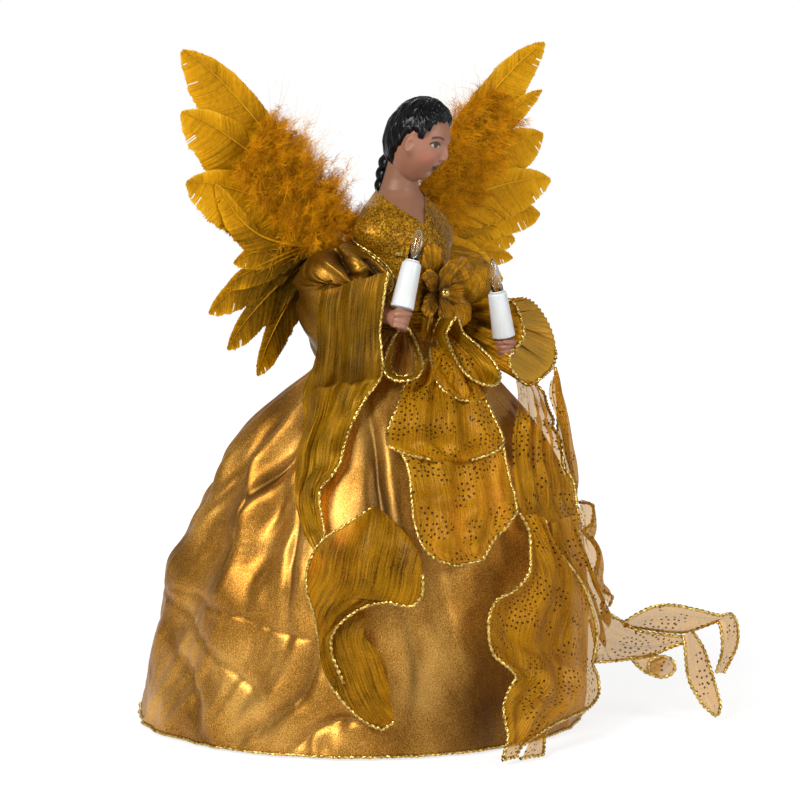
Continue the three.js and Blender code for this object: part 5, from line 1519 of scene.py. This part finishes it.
def fist(name):
    """A closed hand: four fingers and a thumb round the candle's spigot."""
    side = SIDES[name]
    _, (x, y, z) = arm_path(name, 20)
    z, x = spun(z, x, math.radians(side * ARMS[name][1]))
    ahead = np.array([x, y, z])
    facing = math.atan2(y, x)
    wrist = closed_tube([-3 * ahead, -WRIST * ahead], WRIST_RADIUS, 20)
    parts = [palm(-1.6 * ahead, PALM_HALF), wrist]

    def finger(first, last, reach, heights, radius):
        """A finger bent round the spigot, between two angles from the hand's direction."""
        turn = facing + side * np.radians(np.linspace(first, last, len(heights)))
        route = grid_of(reach * np.cos(turn), reach * np.sin(turn), heights)
        parts.append(closed_tube(route, np.linspace(radius, FINGERTIP_RADIUS, len(heights)), 12))

    for number in range(FINGERS):
        height = FINGER_TOP - FINGER_PITCH * number
        finger(-115, 100, 4.5 - 0.25 * abs(number - 1.2), np.full(24, height), FINGER_RADIUS)
    finger(95, -40, 5.2, np.linspace(1.5, 4.6, 16), THUMB_RADIUS)
    points, corners = fused(parts, FIST_VOXEL)
    points = FIST_SCALE * points - FIST_DROP * UP
    paint = np.tile(SKIN, (len(points), 1))
    lamp_piece(name, "fist", (points, corners), "skin", "hand", colour=paint)


CANDLE_FOOT = 5
CANDLE_TOP = 28.6
CANDLE_EDGE = 1.2
SPIGOT_FOOT = -0.5
SPIGOT_BORE = 1.7
SPIGOT_RADIUS = 2.6
SOCKET_RADIUS = 3.6
SOCKET_FLOOR = 19.5
# [radius, height] round a bulb's base
BULB_BASE = [
    (0.05, 21.5), (2.5, 21.5), (3.3, 23.5), (3.3, 28.7), (3.6, 28.7), (3.7, 28.9), (3.7, 29.3), (3.6, 29.5),
    (3.05, 29.5), (3.05, 28.4), (0.05, 28.4),
]
GLASS_RADIUS = 2.75
GLASS_WALL = 0.4
GLASS_FOOT = 28.6
GLASS_TAPER = (38.55, 8.25)  # height where the bulb begins to taper, and the taper's length
GLASS_TIP = [(0.3, 46.6), (0.02, 46.9)]


def candle(name):
    edge = np.radians(np.linspace(0, 90, 8))
    top = [(3.65 + CANDLE_EDGE * math.cos(a), CANDLE_TOP + CANDLE_EDGE * (math.sin(a) - 1)) for a in edge]
    points, corners = turned([
        (SPIGOT_BORE, SPIGOT_FOOT), (SPIGOT_RADIUS, SPIGOT_FOOT), (SPIGOT_RADIUS, CANDLE_FOOT - 0.1),
        (5.2, CANDLE_FOOT), (5.75, CANDLE_FOOT + 0.15), (5.9, CANDLE_FOOT + 0.6), *top,
        (SOCKET_RADIUS, CANDLE_TOP - 0.4), (SOCKET_RADIUS, SOCKET_FLOOR), (SPIGOT_BORE, SOCKET_FLOOR),
        (SPIGOT_BORE, SPIGOT_FOOT),
    ], 64)
    x, y, z = points.T
    sag = 0.12 * ripple(2 * np.arctan2(y, x), z / 6, 3)
    points = points * (1 + (sag * (np.hypot(x, y) > 4.9) / 5.5)[:, None] * [1, 1, 0])
    lamp_piece(name, "candle_sleeve", (points, corners), "candle", "candle")


def bulb(name):
    """A bulb's base and its clear glass."""
    body = name + "_bulb"
    lamp_piece(name, "lamp_base", turned(BULB_BASE, 48), "bulb_base", "bulb_base", body)
    share = np.linspace(0, 1, 26)
    radius = GLASS_RADIUS * (1 - share**2.2) + 0.25 * share * (1 - share)
    outer = np.column_stack([radius, GLASS_TAPER[0] + GLASS_TAPER[1] * share])
    inner = np.column_stack([np.maximum(radius - GLASS_WALL, 0.02), outer[:, 1] - 0.5 * share])[::-1]
    rim = [(GLASS_RADIUS - GLASS_WALL, GLASS_FOOT), (GLASS_RADIUS, GLASS_FOOT)]
    wall = np.vstack([rim, outer[:-1], GLASS_TIP, inner, rim[:1]])
    lamp_piece(name, "lamp_glass", turned(wall, 40), "bulb_glass", "bulb_glass", body)


BRAID_RADIUS = 0.55
BRAID_ROWS = (0, 2.2)  # how far below the seam's line the two rows of braid lie


def armhole(name, lift):
    """Two rows of gold braid along the seam of the sleeve."""
    degrees, rise = curve(ARMHOLE, ARMHOLE_STEPS).T
    paths = [on_shoulder(SIDES[name], degrees, rise - drop, lift) for drop in BRAID_ROWS]
    gold_cord(name + "_armhole_cord", paths, [name + "_armhole_braid"], BRAID_RADIUS)


torso()
wrap("left", lift=0.3)
wrap("right", lift=1.4)
sash()
flower()
for name in LOOPS:
    ribbon_loop(name)
head()
hair()
plait()
bell_sleeve()
arm_wire()
for name in SIDES:
    arm(name)
    lamp_lead(name)
    puff(name)
    fist(name)
    candle(name)
    bulb(name)
armhole("right", lift=3.2)
armhole("left", lift=1.6)


# Wings
# [tip from the middle, tip above the waist, width, layer, root from the middle, root above the waist]
FEATHERS = {
    "right": [
        (124, 143, 32, 2, 30, 51), (127, 113, 33, 1, 29, 48.5), (126, 79, 32, 0, 28, 46.5),
        (112, 14, 19, 1, 28, 45.6), (99, -5, 18, 2, 29, 42.5), (78, -20, 18, 3, 30, 40.5),
    ],
    "left": [
        (134, 152, 29, 2, 30, 52.2), (133, 102, 32, 1, 29, 50.4), (138, 77, 28, 0, 28, 49.5),
        (133, 58, 24, 2, 28, 48.8), (114, 44, 22, 3, 29, 45.5), (102, 22, 20, 1, 28.4, 48.2),
    ],
}
# Painted shade of each feather: the right wing's lower fan darker, and the left wing painted lighter
FEATHER_PAINTED_SHADE = {"right": [0, 0, 0, 0.3, 0.3, 0.3], "left": [-0.1] * 6}
# Small feathers between the large ones, in the same terms, with the bow's share of the length and how much
# painted shade
FILLERS = {
    "right_plume_3": [((108, 77, 15, -0.6, 50, 44), -0.14, 0.04)],
    "right_plume_4": [((101, 26, 14, 0.6, 28, 47), 0.03, 0.3), ((96, 38, 15, 0.4, 30, 47), 0.04, 0.22)],
    "right_plume_5": [((93, 2, 12, 2.6, 29, 43), 0.02, 0.3)],
    "left_plume_3": [((132, 126, 16, 1.4, 30, 50), 0.04, 0.0)],
    "left_plume_5": [((128, 70, 14, 1.6, 29, 48), -0.05, 0.04), ((112, 34, 14, 2.4, 29, 46), 0.0, 0.04)],
}
# [share of the length, share of the half width]
VANE = [
    (0, 0), (0.08, 0), (0.18, 0.36), (0.32, 0.78), (0.48, 0.97), (0.62, 1), (0.76, 0.9), (0.87, 0.68),
    (0.95, 0.38), (1, 0.04),
]
BOW_SHARE = 0.05
TIP_DROOP = 0.02
LEADING_SHARE = 0.6
TRAILING_SHARE = 1.4
SPLITS = 2  # in the trailing vane
SPLIT_STEP = 5  # of the barb's steps, where a split begins
BARB_PITCH = 0.5
BARB_STEPS = 9
HAIR_STEPS = 4
HAIR_HALF = 0.2


def wing_axes(side, y, root, tip):
    """Root, way to the tip, its direction, and the direction across it towards the leading edge."""
    root, tip = (np.array([side * x, y, WAIST + rise]) for x, rise in (root, tip))
    ahead = unit(tip - root)
    return root, tip - root, ahead, np.array([-side * ahead[2], 0, side * ahead[0]])


def vanes(side, row, seed, dark, bow_share=BOW_SHARE):
    """Parts and shades of one feather: a quill and two vanes of close barbs, the lower one wider."""
    tip_x, tip_rise, width, layer, root_x, root_rise = row
    y = WING_PLANE + FEATHER_PITCH * layer
    root, axis, ahead, across = wing_axes(side, y, (root_x, root_rise), (tip_x, tip_rise))
    length = np.linalg.norm(axis)
    draw = np.random.default_rng(seed)

    def spine(share):
        droop = TIP_DROOP * length * np.clip((share - 0.8) / 0.2, 0, 1) ** 2
        bow = bow_share * length * np.sin(np.pi * share) - droop
        return root + axis * share[:, None] + across * bow[:, None]

    quill = tube(spine(np.linspace(0, 0.97, 50)) - 0.3 * BACK, np.linspace(0.75, 0.12, 50), 8)
    # dark is the feather's painted shade, which the quill carries too
    parts, shades = [quill], [np.full(len(quill[0]), 0.7 - dark)]
    count = int(0.9 * length / BARB_PITCH)
    share = np.linspace(0.09, 0.995, count)
    t = np.linspace(0, 1, BARB_STEPS)
    for edge, wide, splits in ((-1, TRAILING_SHARE, SPLITS), (1, LEADING_SHARE, 0)):
        ends = share + (1 - share) * (0.12 + 0.14 * wide) + 0.003 * ripple(share * 40, 0.5, seed + edge)
        gaps = np.zeros(count, bool)
        for split in draw.uniform(0.74, 0.95, splits):
            away = share - split
            ends = ends + draw.uniform(0.0, 0.003) * np.sign(away) * np.exp(-np.abs(away) / 0.04)
            gaps[np.argmin(np.abs(away))] = True
        ends = np.minimum(ends, 1)
        half = between(VANE, ends)[0] * wide * width / 2
        half = half * (1 + 0.05 * ripple(share * 16, 1.5, seed + edge)) * draw.uniform(0.97, 1.02, count)
        start, far = spine(share), spine(ends) + across * (edge * half)[:, None]
        bend = ahead * (0.2 * half)[:, None]
        paths = start[:, None] + (far - start)[:, None] * t[:, None]
        paths = paths - bend[:, None] * (t * (1 - t))[:, None]
        back = 1.1 * (half[:, None] * t / 15) ** 2 + 0.9 * ripple(share * 5, 0.3, seed + 7)[:, None] * t
        paths[..., 1] += back + 0.07 * draw.normal(0, 1, count)[:, None] * t
        points, faces = surface(paths)
        open_from = np.where(gaps, SPLIT_STEP, BARB_STEPS)[faces[:, 0] // BARB_STEPS]
        parts.append((points, faces[faces[:, 0] % BARB_STEPS < open_from]))
        line = draw.normal(0, 0.04, count) + 0.06 * ripple(share * 60, 1.5, seed + edge)
        # the painted shade (dark) takes less off towards the tip
        tone = 0.28 + 0.3 * share + line + 0.08 * ripple(share * 7, 2.5, seed) - dark * (1 - 0.6 * share**4)
        fringe = 0.3 * t**5 * np.interp(share, [0.3, 0.95], [0.3, 1])[:, None]
        shades.append((tone[:, None] + fringe - 0.1 * np.exp(-t / 0.15)).ravel())
        hairs = draw.integers(0, count - 1, count // 3)
        s = np.linspace(0, 1, HAIR_STEPS)
        heading = unit(unit(far[hairs] - start[hairs]) + ahead * draw.uniform(0, 0.5, (len(hairs), 1)))
        size = draw.uniform(0.4, 1.8, len(hairs))
        wisp = (far[hairs] - 0.8 * heading)[:, None] + heading[:, None] * (size[:, None] * s)[..., None]
        wisp[..., 1] += (1.1 * (half[hairs] / 15) ** 2)[:, None]
        sidewise = unit(np.cross(np.gradient(wisp, axis=1), BACK))
        parts.append(strips(wisp, sidewise, HAIR_HALF * (1 - 0.8 * s)))
        shades.append(np.repeat((tone + 0.24)[hairs], 2 * HAIR_STEPS))
    return parts, shades


def feather(name, side, row, seed, dark):
    """A large feather, with the small ones that fill beside it."""
    parts, shades = vanes(side, row, seed, dark)
    for number, (filler, bow, shadow) in enumerate(FILLERS.get(name, ()), 1):
        more_parts, more_shades = vanes(side, filler, seed + 3 * number, shadow, bow)
        parts, shades = parts + more_parts, shades + more_shades
    piece(name, parts, "feather", [name.replace("_plume", "_wing_feather")], shade=np.concatenate(shades))


# Down over the roots: its root and tip from the middle and above the waist
DOWN = {"right": ((32, 50), (98, 106)), "left": ((32, 54), (92, 118))}
# [share of the length, half height]
DOWN_OUTLINE = [(0, 5), (0.15, 12), (0.4, 17), (0.65, 17), (0.88, 11), (1, 4)]
DOWN_THICKNESS = 8
DOWN_GAP = 0.8  # from the wing's plane to the pad
DOWN_END = {"right": 0.78, "left": 0.95}  # share of the pad that the tufts cover
DOWN_SHADE = 0.26
TUFTS = 420
TUFTS_START = -0.16  # tufts begin before the pad's root, over the bodice
TUFT_HALF = 9  # least half height that tufts spread over
TUFT_BARBS = 64
TUFT_STEPS = 4
WISPS = 150
WISP_STEPS = 10
BARB_HALF = (0.1, 0.03)  # half width of a fine barb at its foot and its tip
BARB_FACING = (0.1, 1, 0.05)


def fine_barbs(feet, headings, curls, sizes, steps):
    """Flat strips that curl away from their headings."""
    s = np.linspace(0, 1, steps)
    along, bent = sizes[:, None] * s, sizes[:, None] * s**2
    paths = feet[:, None] + headings[:, None] * along[..., None] + curls[:, None] * bent[..., None]
    sidewise = unit(np.cross(np.gradient(paths, axis=1), BARB_FACING))
    return strips(paths, sidewise, np.interp(s, [0, 1], BARB_HALF))


def down_pad(axes, end):
    """The soft pad that the tufts stand on."""
    root, axis, _, across = axes
    share, turn = rows(60, 0.01, end), turns(60)[None, :]
    half = between(DOWN_OUTLINE, share)[0] * np.sqrt(np.clip((end - share) / 0.1, 0.01, 1))
    lump = 0.82 + 0.12 * ripple(2 * np.cos(turn) + 5 * share, 2 * np.sin(turn), 3)
    thick = DOWN_THICKNESS / 2 * np.minimum(1, 0.45 + half / 20) * lump
    pad = root + axis * share[..., None] + across * (half * lump * np.cos(turn))[..., None]
    return surface(pad + BACK * (thick * np.sin(turn))[..., None], True)


def tuft(draw, axes, end):
    """Fine barbs all round a short bent stem, and their shades."""
    root, axis, ahead, across = axes
    place = draw.uniform(TUFTS_START, end)
    half = max(between(DOWN_OUTLINE, place)[0], TUFT_HALF)
    high = draw.uniform(-1, 1)
    foot = root + axis * place + across * half * high * 0.92
    foot[1] -= DOWN_THICKNESS / 2 * draw.uniform(0.1, 0.9) * math.sqrt(1 - high * high * 0.9)
    heading = ahead * draw.uniform(0.3, 1.0) + across * (0.9 * high + draw.normal(0, 0.45))
    heading = unit(heading + draw.uniform(-0.6, 0.05) * BACK)
    size = draw.uniform(8, 17) * (1.15 - 0.35 * place)
    t = rows(TUFT_BARBS)
    bend = draw.normal(0, 0.3) * across + [0, -0.1, -0.14]
    stem = foot + heading * size * t + bend * size * t**2
    spin = draw.uniform(0, 2 * np.pi, TUFT_BARBS)[:, None]
    right = unit(np.cross(heading, [0, 1, 0.1]))
    out = right * np.cos(spin) + np.cross(right, heading) * 0.6 * np.sin(spin)
    barb = unit(heading * draw.uniform(0.3, 1.0, TUFT_BARBS)[:, None] + out)
    reach = draw.uniform(3.5, 9.5, TUFT_BARBS) * (1 - 0.5 * t[:, 0])
    curl = draw.normal(0, 0.35, (TUFT_BARBS, 1)) * across - 0.15 * UP
    tone = draw.uniform(0.22, 0.56) + 0.24 * np.linspace(0, 1, TUFT_STEPS) ** 2
    return fine_barbs(stem, barb, curl, reach, TUFT_STEPS), np.tile(np.repeat(tone, 2), TUFT_BARBS)


def wisps(draw, axes, end):
    """Long loose barbs at the pad's upper edge, and their shades."""
    root, axis, ahead, across = axes
    place = draw.uniform(0.1, end, WISPS)
    high = draw.uniform(0.55, 1.0, WISPS)
    foot = root + axis * place[:, None] + across * (between(DOWN_OUTLINE, place)[0] * high)[:, None]
    heading = across * draw.uniform(0.5, 1.1, (WISPS, 1)) + ahead * draw.normal(0.25, 0.45, (WISPS, 1))
    heading = unit(heading + BACK * draw.normal(-0.1, 0.3, (WISPS, 1)))
    size = draw.uniform(9, 30, WISPS)
    curl = draw.normal(0, 0.3, (WISPS, 1)) * ahead - 0.1 * UP
    tone = 0.62 + 0.4 * np.linspace(0, 1, WISP_STEPS)
    return fine_barbs(foot, heading, curl, size, WISP_STEPS), np.tile(np.repeat(tone, 2), WISPS)


def down(name):
    """Marabou: a soft pad bristling with tufts of fine barbs, and long wisps at its upper edge."""
    side, end = SIDES[name], DOWN_END[name]
    axes = wing_axes(side, WING_PLANE - DOWN_GAP - DOWN_THICKNESS / 2, *DOWN[name])
    draw = np.random.default_rng(40 + side)
    pad = down_pad(axes, end)
    made = [(pad, np.full(len(pad[0]), DOWN_SHADE))]
    made += [tuft(draw, axes, end) for _ in range(TUFTS)]
    made.append(wisps(draw, axes, end))
    parts, shades = zip(*made)
    piece(name + "_marabou", parts, "down", [name + "_wing_marabou"], shade=np.concatenate(shades))


for name, side in SIDES.items():
    for number, (row, dark) in enumerate(zip(FEATHERS[name], FEATHER_PAINTED_SHADE[name]), 1):
        feather(f"{name}_plume_{number}", side, row, 20 * number + side, dark)
    down(name)


# Solids of the frame that stay as they are, with their finishes
CARRIED = {
    "skirt_form": "body",
    "tree_socket": "moulding",
    "lead_splice": "moulding",
    "wing_wire": "wire",
    "chest_bead": "gold_bead",
}
for name in SIDES:
    CARRIED[name + "_filament"] = "filament"
    CARRIED[name + "_wing_card"] = "card"
for node, finish in CARRIED.items():
    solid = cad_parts[node]
    if not solid.material_slots:
        solid.data.materials.append(FINISH[finish])
    solid.material_slots[0].material = FINISH[finish]

# Stage, light and camera
TARGET = Vector((9.5, 13.2, 166.2)) * MM
CAMERA_PLACE = Vector((-1046.3, -1042.6, 309.9)) * MM
LENS = 129.8
SENSOR = 36
FLOOR_HALF = 4.0
FLOOR_DROP = 0.0002
SHADOW_REACH = (0.24, 0.6)  # metres from the axis where the floor's shadow fades out
SHADOW_GLOW = 0.8
ROOM_LIGHT = 0.17
MIRRORED_ROOM = 0.05
MIRRORED_SWEEP = 0.45
SWEEP_EDGE = (-0.3, 0.3)  # where the room turns into the sweep, from facing the camera to facing away
WHITE = (1, 1, 1, 1)
PAPER_GREY = (0.86, 0.86, 0.86, 1)
SHADOW_GREY = (0.25, 0.25, 0.25, 1)


def eased(make, value, span, low=0.0, high=1.0):
    """A value's place in a span, as a number from low to high."""
    inputs = {"Value": value, "From Min": span[0], "From Max": span[1], "To Min": low, "To Max": high}
    return make.add("ShaderNodeMapRange", "Result", inputs)


def for_sight(make, seen, lit):
    """What the camera sees, straight, mirrored or through glass, and what lights the object otherwise."""
    kinds = ("Is Camera Ray", "Is Glossy Ray", "Is Transmission Ray")
    straight, mirrored, through = make.add("ShaderNodeLightPath", kinds)
    sight = make.maths("MAXIMUM", straight, make.maths("MAXIMUM", mirrored, through))
    return make.add("ShaderNodeMixShader", 0, {0: sight, 1: lit, 2: seen})


def stage_floor():
    make = Finish("pale_floor")
    make.set(Base_Color=PAPER_GREY, Roughness=0.9)
    away = make.length(make.add("ShaderNodeNewGeometry", "Position"))
    glow = make.add("ShaderNodeEmission", 0, {"Strength": eased(make, away, SHADOW_REACH, SHADOW_GLOW)})
    shadow = make.add("ShaderNodeBsdfDiffuse", 0, {"Color": SHADOW_GREY})
    bright = make.add("ShaderNodeAddShader", 0, {0: glow, 1: shadow})
    make.show("Material Output", for_sight(make, bright, Value(make, make.shader.outputs[0])))
    mesh = bpy.data.meshes.new("floor")
    corners = [(-1, -1), (1, -1), (1, 1), (-1, 1)]
    points = [(x * FLOOR_HALF, y * FLOOR_HALF, -FLOOR_DROP) for x, y in corners]
    mesh.from_pydata(points, [], [(0, 1, 2, 3)])
    mesh.materials.append(FINISH["pale_floor"])
    put_in_scene("floor", mesh)


def world_light():
    """White sweep behind the object, and a dimmer room on the camera's side for what mirrors it."""
    world = bpy.data.worlds.new("studio")
    bpy.context.scene.world = world
    world.use_nodes = True
    make = Nodes(world.node_tree)

    def backdrop(strength):
        return make.add("ShaderNodeBackground", 0, {"Color": WHITE, "Strength": strength})

    facing = (TARGET - CAMERA_PLACE).normalized()
    place = make.add("ShaderNodeTexCoord", "Generated")
    heading = make.add("ShaderNodeVectorMath", "Value", {0: place, 1: facing}, operation="DOT_PRODUCT")
    glossy = make.add("ShaderNodeLightPath", "Is Glossy Ray")
    white = backdrop(eased(make, glossy, (0.0, 1.0), 1.0, MIRRORED_SWEEP))
    behind = eased(make, heading, SWEEP_EDGE)
    seen = make.add("ShaderNodeMixShader", 0, {0: behind, 1: backdrop(MIRRORED_ROOM), 2: white})
    make.show("World Output", for_sight(make, seen, backdrop(ROOM_LIGHT)))


def aimed(name, data, place):
    """A light or camera that faces the target."""
    thing = put_in_scene(name, data)
    thing.location = place
    thing.rotation_euler = (TARGET - Vector(place)).to_track_quat("-Z", "Y").to_euler()
    return thing


def softbox(name, place, size, watts):
    light = bpy.data.lights.new(name, "AREA")
    light.size = size
    light.energy = watts
    aimed(name, light, place)


def camera():
    data = bpy.data.cameras.new("camera")
    data.lens = LENS
    data.sensor_width = SENSOR
    bpy.context.scene.camera = aimed("camera", data, CAMERA_PLACE)


stage_floor()
world_light()
softbox("key", place=(-1.5, -0.4, 1.1), size=0.6, watts=34)
softbox("fill", place=(0.3, -1.5, 0.8), size=0.6, watts=12)
softbox("back", place=(0.9, 1.1, 1.1), size=0.8, watts=8)
camera()
bpy.context.scene.view_settings.view_transform = "Standard"
